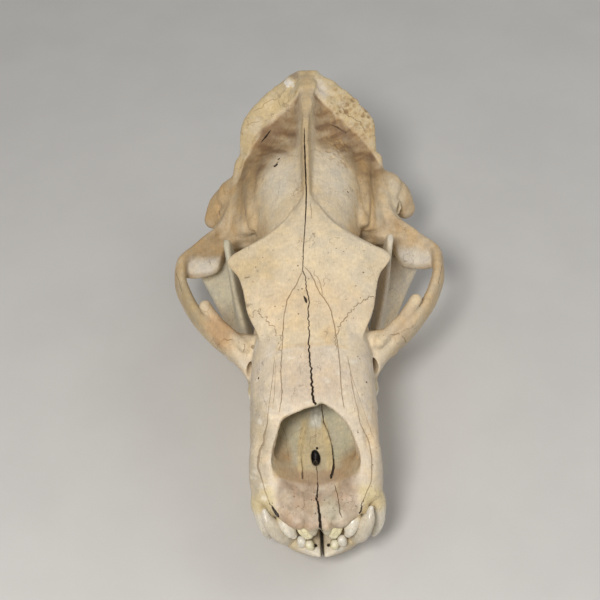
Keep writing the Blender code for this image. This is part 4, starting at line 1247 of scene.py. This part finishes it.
def paint_nose(p):
    """Green-grey floor, brown foot, yellow ridges and painted shade in the hole in the palate; gives what
    lies inside.
    """
    x, s, z, wide, mottle = p.x, p.s, p.z, p.wide, p.mottle
    floor = Paint(p.points, p.normals, mottle, GREENISH)
    floor.coat((0.58, 0.52, 0.39), 0.5 + 0.7 * rough(p.points, 12, 3, 76))
    foot = np.where(x < 0, 74, 62) - 0.5 * (30 - wide)
    brown_end = np.maximum(ease(s, 56, 40), ease(wide, 14, 20) * ease(s, foot + 8, foot - 12))
    floor.coat((0.44, 0.30, 0.165), brown_end * (0.75 + 0.5 * mottle))
    floor.coat((0.36, 0.25, 0.17), ease(s, 48, 38) * ease(wide, 26, 12) * 0.5)
    ridge = ease(np.abs(wide - 10.5 + 0.18 * np.maximum(s - 66, 0)), 3.4, 1.2)
    ridge *= ease(s, 92, 84) * ease(s, 40, 46)
    trough = ease(wide, 10, 8) * ease(s, 86, 80) * ease(s, 42, 48)
    middle_bone = ease(np.abs(x - 1.6), 5.0, 3.0) * ease(s, 78, 86)
    floor.coat((0.60, 0.50, 0.32), trough * ease(z, 86, 82) * 0.85)
    floor.coat((0.66, 0.53, 0.30), ridge * ease(z, 86, 82) * 0.8)
    floor.coat((0.66, 0.65, 0.58), middle_bone * ease(z, 96, 88) * 0.85)
    inside = nose_inside(p.points)
    p.coat(floor.colour, inside)
    # painted shade: the walls of the hole in the palate made nearly black
    deep = ease((x / 3.9) ** 2 + ((s - 54) / 9.3) ** 2, 1.1, 0.95) * ease(z, 78.6, 77.7) * ease(z, 50, 52)
    p.coat(SHADE_BLACK * 0.3, deep * ease(p.facing_up, -0.7, -0.4))
    return inside


def cranium_colour(points, normals, dark, cell):
    """The colours of the cranium, from broad to small and from light to dark."""
    p = Paint(points, normals, rough(points, 9, 4, 50), TAN)
    fleck = rough(points, 2.6, 3, 55)
    p.coat(IVORY, 0.45 + 0.4 * rough(points, 22, 3, 57))
    ahead = paint_snout_roof(p)
    paint_temple(p)
    paint_flange(p, fleck, cell)
    paint_cheeks(p)
    front = paint_premaxilla(p, fleck)
    for seed, blot in enumerate(BLOTS):
        p.spot(*blot, 1.2, 0.5, 10, 100 + seed)
    inside = paint_nose(p)

    # darker tan on faces turned down, and white, rubbed spots on top
    p.coat((0.50, 0.40, 0.26), 0.4 * ease(p.facing_up, 0.0, -0.7))
    rubbed = 0.5 * ahead * (1 - inside) * (1 - 0.7 * front)
    p.coat((0.80, 0.74, 0.64), rubbed * ease(rough(points, 7, 3, 77), 0.35, 0.7))
    p.spot((0.82, 0.78, 0.70), 0.7, (-43, 131, 118), (5, 4, 6), 0.8, 0.7, 3, 78)
    return p.finished(0.07 * fleck + 0.05 * p.mottle, dark)


# Lower jaw, the same forms as the solids'


JAW_FLOOR = profile(
    (-5, 41), (-2, 38), (4, 32), (14, 22.5), (30, 11), (52, 3.8), (80, -0.2), (105, -1), (140, -1),
    (180, 1.4), (215, 6.5), (250, 12),
)
JAW_OUTSIDE = profile(
    (-5, 3.5), (-3, 8), (0, 14), (4, 20.5), (10, 27), (16, 30.5), (24, 31), (40, 28), (60, 27), (80, 31),
    (100, 36.5), (130, 43), (170, 52), (205, 60.5), (250, 69),
)
JAW_INSIDE = profile(
    (-5, 0.5), (54, 0.6), (66, 5), (80, 12), (100, 19), (130, 26), (170, 35), (205, 47.5), (250, 59),
)


def jaw_body():
    """The long bar that carries the teeth."""
    return loft(
        np.concatenate([[-5, -4, -2.5], np.arange(-1, 247, 2)]),
        half_width=lambda s: (JAW_OUTSIDE(s) - JAW_INSIDE(s)) / 2,
        top=profile((-5, 44), (10, 46.5), (60, 47), (110, 47), (160, 48.5), (195, 52), (246, 58)),
        bottom=JAW_FLOOR,
        widest=profile((-5, 42.5), (10, 40), (60, 34), (110, 26), (246, 36)),
        middle=lambda s: (JAW_OUTSIDE(s) + JAW_INSIDE(s)) / 2,
        upper=profile((-5, 2.8), (60, 3.0), (246, 2.6)),
        lower=profile((-5, 1.8), (50, 1.8), (100, 2.2), (246, 2.3)),
        count=64,
    )


def jaw_branch():
    """The blade behind the molars, with the hinge, the muscle pit's lower ridge and the angle."""
    front = profile(
        (6, 206), (30, 192), (48, 189), (62, 197), (80, 206), (98, 213), (110, 219), (119, 225),
        (125, 231),
    )
    back = profile(
        (6, 248), (20, 256), (48, 262), (66, 263), (78, 257), (90, 252), (102, 250), (112, 248), (120, 244),
        (125, 239),
    )
    half_thick = profile((6, 4), (20, 5), (48, 6), (70, 4.6), (95, 3.6), (125, 2.6))
    across, along = rounded(56, 2.6)
    rings = []
    for height in np.concatenate([[6, 9], np.arange(12, 119, 3), [120, 122, 123.7, 125]]):
        low, high = front(height), back(height)
        middle = 58.5 + 0.04 * (height - 48) + 0.0009 * max(height - 60, 0) ** 2
        station = (low + high) / 2 + along * (high - low) / 2
        flare = 0.24 * np.clip((100 - height) / 60, 0.1, 1)
        rings.append(ring(middle + flare * (station - 228) + across * half_thick(height), station, height))
    blade = skin(rings)
    hinge = sweep([(53, 266, 71.5), (68, 264.5, 72), (87, 260, 73)], (0, 0, 1), [6, 7.2, 6], [6, 7.2, 6])
    web = sweep(
        [(52, 194, 34), (58, 212, 43), (65, 230, 54), (72, 246, 66), (76, 258, 72)],
        [(-0.1, 0, 1), (-0.25, 0, 1), (-0.5, 0.1, 1), (-0.7, 0.3, 0.8), (-1, 0.3, 0.3)],
        [15, 16, 16, 15, 14], [5, 4.5, 4, 4.5, 6], power=2.4,
    )
    ridge = sweep(
        [(90, 260, 70), (80, 245, 56), (70, 230, 42), (61, 212, 29), (52, 192, 21)], (0.3, 0, 1),
        [6, 6, 6, 6.5, 6], [4.5, 4, 4, 4.5, 5],
    )
    angle = sweep(
        [(57, 226, 15), (61, 244, 9.2), (63.5, 256, 6.3), (64, 264, 6.2)], (0, 0, 1),
        [13, 10, 7.5, 6], [5, 5, 4.5, 4],
    )
    return [blade, hinge, web, ridge, angle]


def gap_shade_sheet():
    """A thin sheet inside the joint between the two halves, on the left, that closes the view through it;
    it is painted near black as shade.
    """
    route = [(0.45, 0, 40), (0.45, 6, 36), (0.45, 14, 32), (0.45, 30, 30), (0.45, 48, 32)]
    return sweep(route, (0, 0.6, 1), [2.5, 3.5, 5.5, 8.5, 8], [0.8] * 5)


def jaw_relief(points):
    """How far the weathered skin of the jaw stands out from the plain forms."""
    height = 0.25 * rough(points, 14, 2, 90) + 0.14 * rough(points, 4.5, 2, 92)
    height += 0.06 * noise(points, 1.9, 94)
    chin = ease(points[:, 1], 60, 30) * ease(points[:, 2], 40, 30)
    return height + 0.25 * chin * rough(points, 3.4, 2, 96)


def jaw_marks(obj, side):
    """Nerve holes, the socket of the lost first incisor, hairlines and pores."""
    marks = Marks(obj)
    for s, z, size in ((58, 24, 2.4), (84, 22, 1.7), (98, 25, 1.3)):
        marks.spot((side * JAW_OUTSIDE(s), s, z), size, size * 1.2, 0.95)
    marks.spot((side * 4.2, 3.0, 47), 1.4, 2.6, 1.0)
    on_chin = [(side * 26, 12, 34), (side * 27, 26, 26), (side * 25, 42, 22)]
    on_blade = [(side * 62, 205, 66), (side * 60, 222, 84), (side * 59, 236, 104)]
    marks.line(on_chin, 0.28, 0.5, 0.5, 0.6, 5, 4, 60 + side)
    marks.line(on_blade, 0.26, 0.4, 0.4, 0.7, 6, 5, 63 + side)
    chance = np.random.default_rng(8 + side)
    for s, z, size in zip(chance.uniform(0, 60, 50), chance.uniform(14, 40, 50), chance.random(50)):
        marks.spot((side * JAW_OUTSIDE(s), s, z), 0.4 + 0.4 * size**2, 0.7, 0.6)
    return marks


def jaw_colour(points, normals, dark):
    """The colours of one half of the jaw, from broad to small."""
    p = Paint(points, normals, rough(points, 10, 4, 80), IVORY)
    x, s, z, wide, mottle = p.x, p.s, p.z, p.wide, p.mottle
    p.coat(TAN, 0.4 + 0.6 * mottle)
    p.coat(GREY_TAN, ease(s, 30, 8) * (0.45 + 0.6 * mottle))
    p.coat(OCHRE, ease(z, 40, 8) * (0.3 + 0.4 * mottle))
    blade = ease(s, 185, 205) * ease(z, 46, 62)
    p.coat((0.54, 0.51, 0.40), blade * np.where(x < 0, 0.8, 0.3))
    p.coat(WHITISH, blade * np.where(x < 0, 0, 0.5))
    p.coat(YELLOW, ease(s, 26, 12) * ease(z, 36, 44) * ease(wide, 16, 24) * 0.5)

    # painted shade, near black, between the two halves, with a white rim in front
    p.coat(SHADE_BLACK, ease(wide, 1.7, 0.9) * ease(s, 64, 54) * 0.9)
    rim = ease(s, 4, -1) * ease(z, 38, 43) * ease(z, 52, 48) * ease(wide, 1.0, 2.5)
    p.coat(WHITISH, rim * (0.6 + 0.6 * mottle))
    p.coat((0.52, 0.42, 0.28), ease(p.facing_up, 0, -0.7) * 0.4)
    return p.finished(0.07 * rough(points, 2.6, 3, 84), dark)


# Teeth


ENAMEL = np.array([0.72, 0.66, 0.54])
DENTINE = np.array([0.62, 0.51, 0.30])
CANINE_CREAM = np.array([0.61, 0.54, 0.42])
TOOTH_YELLOW = np.array([0.74, 0.67, 0.43])
TIP_WHITE = np.array([0.80, 0.76, 0.68])

# canine, third and second incisor on the left, the first is lost: route from root to tip, half length,
# half width, where the neck is along it, colour of root and crown, squareness
UPPER_FRONT_TEETH = [
    ([(38.5, 36, 84), (40.2, 30, 74), (41.6, 25.5, 64), (41.2, 21, 53), (40, 18.8, 42), (38, 19, 32)],
     [7.0, 8.4, 8.4, 7.0, 4.8, 1.5], [5.6, 6.4, 6.2, 5.2, 3.6, 1.3], 0.42, DENTINE, ENAMEL),
    ([(25.5, 18, 73), (24.8, 13, 69.5), (22.8, 7.5, 66), (20.8, 3.8, 62.5), (19.2, 3, 59.6)],
     [5.0, 5.8, 6.0, 5.0, 3.2], [4.2, 4.8, 5.2, 4.2, 2.6], 0.42, DENTINE, ENAMEL),
    ([(13.8, 12, 73), (12.6, 8, 68.5), (10.4, 4.5, 64), (8.6, 2.4, 61)],
     [3.8, 4.6, 4.8, 3.6], [3.4, 4.4, 4.6, 3.6], 0.2, DENTINE, TOOTH_YELLOW, 3.2),
]
LOWER_FRONT_TEETH = [
    ([(21.5, 20, 34), (24.7, 12.5, 46), (28.3, 7.5, 55), (32, 6.3, 64), (35.6, 8, 71.5), (37.4, 12, 76.8)],
     [6.5, 7.6, 7.4, 6.4, 4.8, 1.9], [5.4, 6.4, 6.2, 5.3, 4.0, 1.7], 0.34, DENTINE, CANINE_CREAM),
    ([(12.5, 10, 38), (13.6, 5, 47), (14.4, 2, 52.5), (14.4, 1.6, 54.2)],
     [3.2, 3.9, 3.9, 3.4], [2.6, 3.3, 3.4, 3.1], 0.3, DENTINE, ENAMEL, 3.0),
    ([(7.5, 9, 38), (8.3, 3.5, 46), (8.8, 0, 50.5), (8.8, -0.4, 51.8)],
     [2.8, 3.5, 3.5, 3.0], [2.4, 2.9, 3.0, 2.7], 0.3, DENTINE, TOOTH_YELLOW, 3.0),
]
# across, back, length, width, crown height
UPPER_CHEEK_TEETH = [
    (42.5, 47, 7, 5.5, 4.5), (43.5, 115, 17, 11.5, 8), (44, 134, 19.5, 14, 7), (42, 158.5, 27.5, 14.5, 6),
]
LOWER_CHEEK_TEETH = [
    (20, 42, 5.5, 4.5, 4), (29, 103, 13, 7, 6.5), (33.5, 123, 24, 10, 7.5), (38.8, 147, 22.5, 12, 6.5),
    (43, 167, 16, 11.5, 5.5),
]

TOOTH_COUNT = 40
CROWN_COUNT = 64


def pointed_tooth(route, half_long, half_wide, neck, root, crown, power=2.0):
    """A tooth on one curved root, coloured from its sunk end to its tip."""
    points, faces = sweep(route, (0, 1, 0.2), half_long, half_wide, power, TOOTH_COUNT, 0.7)
    along = np.arange(len(points)) // TOOTH_COUNT * TOOTH_COUNT / len(points)
    middle = np.repeat(points.reshape(-1, TOOTH_COUNT, 3).mean(1), TOOTH_COUNT, 0)
    way = (points - middle) / np.maximum(np.linalg.norm(points - middle, axis=1), 1e-6)[:, None]
    swell = 0.35 * np.exp(-(((along - neck) / 0.05) ** 2))
    ribs = 0.10 * noise(way * 3.2, 1.0, 3) + 0.25 * noise(points, 5, 2)
    points = points + way * (swell + ribs + 0.08 * noise(points, 2.2, 4))[:, None]
    streak = noise(np.column_stack([way[:, 0] * 5, way[:, 2] * 5 + way[:, 1] * 4, along * 4]), 1.0, 6)
    above_neck = ease(along + 0.04 * streak, neck - 0.06, neck + 0.10)
    colour = blend(np.tile(root, (len(points), 1)), crown, above_neck)
    colour = blend(colour, TIP_WHITE, ease(along, 0.78, 1.0) * 0.5)
    colour *= (1 + 0.07 * streak + 0.05 * noise(points, 3, 8))[:, None]
    return points, faces, colour


def cheek_tooth(across, back, length, width, height, neck, up):
    """A low crown with a rim of cusps round a shallow basin, its root sunk in the jaw."""
    cusps = 1 if length < 9 else 2 if length < 15 else 3
    x, s = rounded(CROWN_COUNT, 2.6)
    angle = np.arange(CROWN_COUNT) * 2 * math.pi / CROWN_COUNT
    peaks = 0.5 + 0.5 * np.cos(angle * cusps * 2)
    size_at = profile(
        (0, 0.6), (0.3, 0.88), (0.42, 0.97), (0.6, 1.0), (0.72, 0.95), (0.84, 0.8), (0.94, 0.5), (1, 0.12),
    )
    level_at = profile(
        (0, -7), (0.3, -0.5), (0.42, 0.2 * height), (0.6, 0.5 * height), (0.72, 0.7 * height),
        (0.84, 0.8 * height), (0.94, 0.66 * height), (1, 0.6 * height),
    )
    cusp_at = profile((0, 0), (0.6, 0), (0.84, 0.26 * height), (0.94, 0.12 * height), (1, 0))
    rings = []
    for t in np.linspace(0, 1, 26):
        outline = across + x * size_at(t) * width / 2, back + s * size_at(t) * length / 2
        rings.append(ring(*outline, neck + up * (level_at(t) + cusp_at(t) * peaks)))
    points, faces = skin(rings if up > 0 else rings[::-1])
    along = ease(up * (points[:, 2] - neck), -1, 1.5)
    colour = blend(np.tile(DENTINE, (len(points), 1)), ENAMEL, along)
    colour *= (1 + 0.06 * noise(points, 2, 8))[:, None]
    return points, faces, colour


def teeth(front, cheek, neck, up):
    """The upper or lower teeth of the left side."""
    return [pointed_tooth(*row) for row in front] + [cheek_tooth(*row, neck, up) for row in cheek]


# Materials


class Nodes:
    """Short names for building one material's node tree; coordinates are in millimetres."""

    def __init__(self, name):
        self.material = bpy.data.materials.new(name)
        self.material.use_nodes = True
        self.tree = self.material.node_tree
        self.shader = self.tree.nodes["Principled BSDF"]
        inputs = {0: self.add("ShaderNodeTexCoord").outputs["Object"], "Scale": 1 / MM}
        self.place = self.add("ShaderNodeVectorMath", inputs, operation="SCALE").outputs[0]

    def add(self, kind, inputs=None, **settings):
        node = self.tree.nodes.new(kind)
        for key, value in settings.items():
            setattr(node, key, value)
        for key, value in (inputs or {}).items():
            self.feed(node.inputs[key], value)
        return node

    def feed(self, socket, value):
        if isinstance(value, bpy.types.NodeSocket):
            self.tree.links.new(value, socket)
        else:
            socket.default_value = value

    def attribute(self, name):
        return self.add("ShaderNodeAttribute", attribute_name=name)

    def shade(self, settings):
        for key, value in settings.items():
            self.feed(self.shader.inputs[key], value)

    def math(self, operation, a, b=0.0, c=0.0):
        return self.add("ShaderNodeMath", {0: a, 1: b, 2: c}, operation=operation).outputs[0]

    def times(self, first, *others):
        for other in others:
            first = self.math("MULTIPLY", first, other)
        return first

    def vectors(self, operation, a, b, c=(0, 0, 0)):
        return self.add("ShaderNodeVectorMath", {0: a, 1: b, 2: c}, operation=operation).outputs[0]

    def stretched(self, scale):
        return self.vectors("MULTIPLY", self.place, scale)

    def noise(self, size, detail=2.0, roughness=0.5, place=None):
        place = place or self.place
        inputs = {"Vector": place, "Scale": 1 / size, "Detail": detail, "Roughness": roughness}
        return self.add("ShaderNodeTexNoise", inputs).outputs[0]

    def between(self, value, low, high, to_low=0.0, to_high=1.0):
        inputs = {0: value, 1: low, 2: high, 3: to_low, 4: to_high}
        return self.add("ShaderNodeMapRange", inputs, interpolation_type="SMOOTHSTEP").outputs[0]

    def mix(self, share, a, b, kind="MIX"):
        inputs = {0: share, 6: a, 7: b}
        return self.add("ShaderNodeMix", inputs, data_type="RGBA", blend_type=kind).outputs[2]

    def brightness(self, colour, value):
        grey = self.add("ShaderNodeCombineColor", {0: value, 1: value, 2: value}).outputs[0]
        return self.mix(1.0, colour, grey, "MULTIPLY")

    def web(self, size, scale, bend, bend_size, detail):
        """Distance to the edges of cells that are stretched by scale and bent by noise."""
        inputs = {"Vector": self.place, "Scale": 1 / bend_size, "Detail": detail}
        noise = self.add("ShaderNodeTexNoise", inputs).outputs[1]
        bent = self.vectors("MULTIPLY_ADD", noise, (bend,) * 3, self.stretched(scale))
        inputs = {"Vector": bent, "Scale": 1 / size}
        return self.add("ShaderNodeTexVoronoi", inputs, feature="DISTANCE_TO_EDGE").outputs[0]

    def bump(self, strength, distance, height):
        inputs = {"Strength": strength, "Distance": distance * MM, "Height": height}
        return self.add("ShaderNodeBump", inputs).outputs[0]


def bone_material(name):
    """Dry bone: its painted tone with blotches, grain, hairlines and pores finer than the mesh."""
    n = Nodes(name)
    tone = n.attribute("tone").outputs["Color"]
    broad = n.noise(11, 5, 0.62)
    middling = n.noise(2.6, 4, 0.6)
    fibre = n.noise(1.0, 3, 0.6, n.stretched((1, 0.16, 0.8)))
    fine = n.noise(0.45, 2, 0.6)

    web = n.web(15, (1, 0.45, 1), 9, 7, 3.0)
    hairline = n.times(n.between(web, 0.016, 0.004), n.between(n.noise(19, 3, 0.5), 0.52, 0.62))

    cells = n.add("ShaderNodeTexVoronoi", {"Vector": n.place, "Scale": 1 / 1.7}, feature="F1").outputs[0]
    pore = n.times(n.between(cells, 0.20, 0.10), n.math("GREATER_THAN", n.noise(3.1, 2, 0.5), 0.60))

    warm = n.mix(n.between(broad, 0.35, 0.70), tone, n.mix(1.0, tone, (1.03, 0.99, 0.90, 1), "MULTIPLY"))
    level = n.times(
        n.between(broad, 0.25, 0.75, 0.92, 1.07), n.between(middling, 0.25, 0.75, 0.92, 1.06),
        n.between(fibre, 0.3, 0.7, 0.94, 1.05), n.between(fine, 0.3, 0.7, 0.95, 1.04),
    )
    dry = n.brightness(warm, level)
    dry = n.mix(n.times(hairline, 0.5), dry, (0.20, 0.13, 0.08, 1))
    dry = n.mix(n.times(pore, 0.55), dry, (0.14, 0.09, 0.055, 1))

    height = n.math("MULTIPLY_ADD", middling, 0.5, n.times(fibre, 0.32))
    height = n.math("MULTIPLY_ADD", fine, 0.22, height)
    height = n.math("SUBTRACT", height, n.math("MULTIPLY_ADD", hairline, 0.35, n.times(pore, 0.5)))
    n.shade({
        "Base Color": dry,
        "Normal": n.bump(0.5, 0.5, height),
        "Roughness": n.between(broad, 0.3, 0.7, 0.5, 0.68),
        "Specular IOR Level": 0.35,
    })
    return n.material


def tooth_material(name):
    """Old enamel: a smooth sheen, fine lengthways cracks and faint stains."""
    n = Nodes(name)
    tone = n.attribute("tone").outputs["Color"]
    broad = n.noise(5, 4, 0.6)
    streak = n.noise(1.1, 3, 0.6, n.stretched((1, 1, 0.14)))
    web = n.web(4.5, (1, 1, 0.22), 3, 5, 2.0)
    crack = n.times(n.between(web, 0.035, 0.008), n.between(broad, 0.44, 0.58))
    level = n.times(n.between(broad, 0.3, 0.7, 0.92, 1.06), n.between(streak, 0.3, 0.7, 0.94, 1.05))
    height = n.math("SUBTRACT", n.times(streak, 0.3), n.times(crack, 0.4))
    n.shade({
        "Base Color": n.mix(n.times(crack, 0.45), n.brightness(tone, level), (0.26, 0.17, 0.09, 1)),
        "Normal": n.bump(0.35, 0.3, height),
        "Roughness": n.between(broad, 0.3, 0.7, 0.26, 0.42),
        "Specular IOR Level": 0.5,
        "Subsurface Weight": 0.12,
        "Subsurface Radius": (1.0, 0.7, 0.45),
        "Subsurface Scale": 1.5 * MM,
    })
    return n.material


# Pieces


def uneven(points):
    """The animal wasn't quite even: the front and the nape lean to its left, the fuller side behind."""
    x, s, z = points.T
    front = ease(s, 75, 5) * (0.8 + 2.4 * ease(z, 78, 48))
    nape = 2.4 * ease(s, 300, 375)
    fuller = ease(x, 55, 98) * ease(s, 205, 248)
    ear = ease(x, 52, 76) * ease(s, 285, 312) * ease(s, 372, 345)
    moved = points.copy()
    moved[:, 0] += front + nape + 3.2 * ear
    moved[:, 1] += 4.0 * fuller + 2.5 * ear
    return moved


def as_piece(name, points, faces, colour, material, nodes):
    """A finished piece that rides on the skull and stands for CAD nodes."""
    obj = mesh_object(name, uneven(points), faces)
    tone = obj.data.attributes.new("tone", "FLOAT_COLOR", "POINT")
    tone.data.foreach_set("color", np.column_stack([colour, np.ones(len(colour))]).ravel())
    obj.data.materials.append(material)
    obj.data.shade_smooth()
    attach(obj, "root")
    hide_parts(*nodes)


def make_cranium(material):
    """The cranium: plain skin, broad marks, relief, fine marks and colour."""
    plain = cranium_skin()
    broad = broad_marks(plain)
    points, triangles, _ = broad.cut(*arrays_of(plain), 0)
    normals = normals_of(points, triangles)
    height, _ = cranium_relief(points, normals)
    relief = mesh_object("relief", points + normals * height[:, None], triangles)
    fine = fine_marks(relief)
    points, triangles, dark = fine.cut(*arrays_of(relief), 2)
    normals = normals_of(points, triangles)
    _, cell = cranium_relief(points, normals)
    colour = cranium_colour(points, normals, dark, cell)
    nodes = ["braincase", "forehead", "snout", "cheekbone_left", "cheekbone_right"]
    as_piece("cranium", points, triangles, colour, material, nodes)


def make_jaw(name, side, node, material):
    """One half of the lower jaw, flat where it rests on the ground."""
    forms = [jaw_body(), *jaw_branch()]
    if side == LEFT:
        # the dark sheet that stands for shade in the gap between the halves
        forms.append(gap_shade_sheet())
    else:
        forms = [mirrored(form) for form in forms]
    points, triangles = arrays_of(fused(name, forms, VOXEL, SOFTENING))
    points = points + normals_of(points, triangles) * jaw_relief(points)[:, None]
    points[:, 2] = np.maximum(points[:, 2], 0)
    relief = mesh_object("relief", points, triangles)
    marks = jaw_marks(relief, side)
    points, triangles, dark = marks.cut(*arrays_of(relief), 1)
    colour = jaw_colour(points, normals_of(points, triangles), dark)
    as_piece(name, points, triangles, colour, material, [node])


bone, enamel = bone_material("bone"), tooth_material("enamel")
make_cranium(bone)
make_jaw("jaw_left", LEFT, "lower_jaw_left", bone)
make_jaw("jaw_right", RIGHT, "lower_jaw_right", bone)
upper = teeth(UPPER_FRONT_TEETH, UPPER_CHEEK_TEETH, 64.5, -1)
lower = teeth(LOWER_FRONT_TEETH, LOWER_CHEEK_TEETH, 47.5, 1)
as_piece("upper_teeth", *joined(on_both_sides(upper)), enamel, ["snout"])
as_piece("lower_teeth_left", *joined(lower), enamel, ["lower_jaw_left"])
as_piece("lower_teeth_right", *joined(map(mirrored, lower)), enamel, ["lower_jaw_right"])


# Floor, light and camera


FLOOR_SIZE = 8
FLOOR_GREY = (0.60, 0.585, 0.56, 1)
SKULL_MIDDLE = Vector((0, 0, 0.08))

# the photograph's camera: degrees round the skull, downwards and about the line of sight, then metres to
# the point it looks at and that point's shift off the middle of the picture
TURN, TILT, ROLL = 0.83, 46.23, -2.38
LOOKED_AT = Vector((0, (190 - ORIGIN_BACK) * MM, 0.09))
DISTANCE, ASIDE, ABOVE = 0.969, -0.00918687, 0.00904303
FOCAL_PIXELS, FRAME_PIXELS, SENSOR_MM = 1222.0, 600, 36


def floor():
    """A plain, faintly cloudy ground."""
    bpy.ops.mesh.primitive_plane_add(size=FLOOR_SIZE)
    ground = bpy.context.object
    ground.name = "floor"
    n = Nodes("floor")
    cloud, grain = n.noise(90, 4, 0.55), n.noise(0.9, 2, 0.5)
    level = n.times(n.between(cloud, 0.3, 0.7, 0.975, 1.02), n.between(grain, 0.3, 0.7, 0.985, 1.01))
    n.shade({"Base Color": n.brightness(FLOOR_GREY, level), "Roughness": 0.75})
    ground.data.materials.append(n.material)


def area_light(name, place, size, watts, colour):
    """A round lamp that points at the skull."""
    light = bpy.data.lights.new(name, "AREA")
    light.shape = "DISK"
    light.size = size
    light.energy = watts
    light.color = colour
    obj = bpy.data.objects.new(name, light)
    obj.location = place
    obj.rotation_euler = (SKULL_MIDDLE - Vector(place)).to_track_quat("-Z", "Y").to_euler()
    bpy.context.scene.collection.objects.link(obj)


def even_light(strength):
    """White light from all round."""
    world = bpy.data.worlds.new("studio")
    world.use_nodes = True
    background = world.node_tree.nodes["Background"].inputs
    background["Color"].default_value = (1, 1, 1, 1)
    background["Strength"].default_value = strength
    bpy.context.scene.world = world


def camera():
    """The photograph's viewpoint."""
    turn, tilt, roll = (math.radians(angle) for angle in (TURN, TILT, ROLL))
    right = Vector((math.cos(turn), math.sin(turn), 0))
    ahead = Vector((-math.sin(turn) * math.cos(tilt), math.cos(turn) * math.cos(tilt), -math.sin(tilt)))
    up = right.cross(ahead)
    right, up = right * math.cos(roll) + up * math.sin(roll), -right * math.sin(roll) + up * math.cos(roll)
    place = LOOKED_AT - ahead * DISTANCE + right * ASIDE + up * ABOVE
    lens = bpy.data.cameras.new("camera")
    lens.sensor_width = SENSOR_MM
    lens.lens = FOCAL_PIXELS * SENSOR_MM / FRAME_PIXELS
    lens.shift_x = 1 / FRAME_PIXELS
    obj = bpy.data.objects.new("camera", lens)
    obj.matrix_world = Matrix((
        (right.x, up.x, -ahead.x, place.x),
        (right.y, up.y, -ahead.y, place.y),
        (right.z, up.z, -ahead.z, place.z),
        (0, 0, 0, 1),
    ))
    bpy.context.scene.collection.objects.link(obj)
    bpy.context.scene.camera = obj


floor()
area_light("key", (-0.2, -0.74, 0.98), 0.26, 9, (1, 0.98, 0.95))
area_light("fill", (1.1, 0.2, 1.3), 1.4, 5, (0.96, 0.98, 1))
even_light(0.35)
bpy.context.scene.view_settings.view_transform = "Standard"
camera()
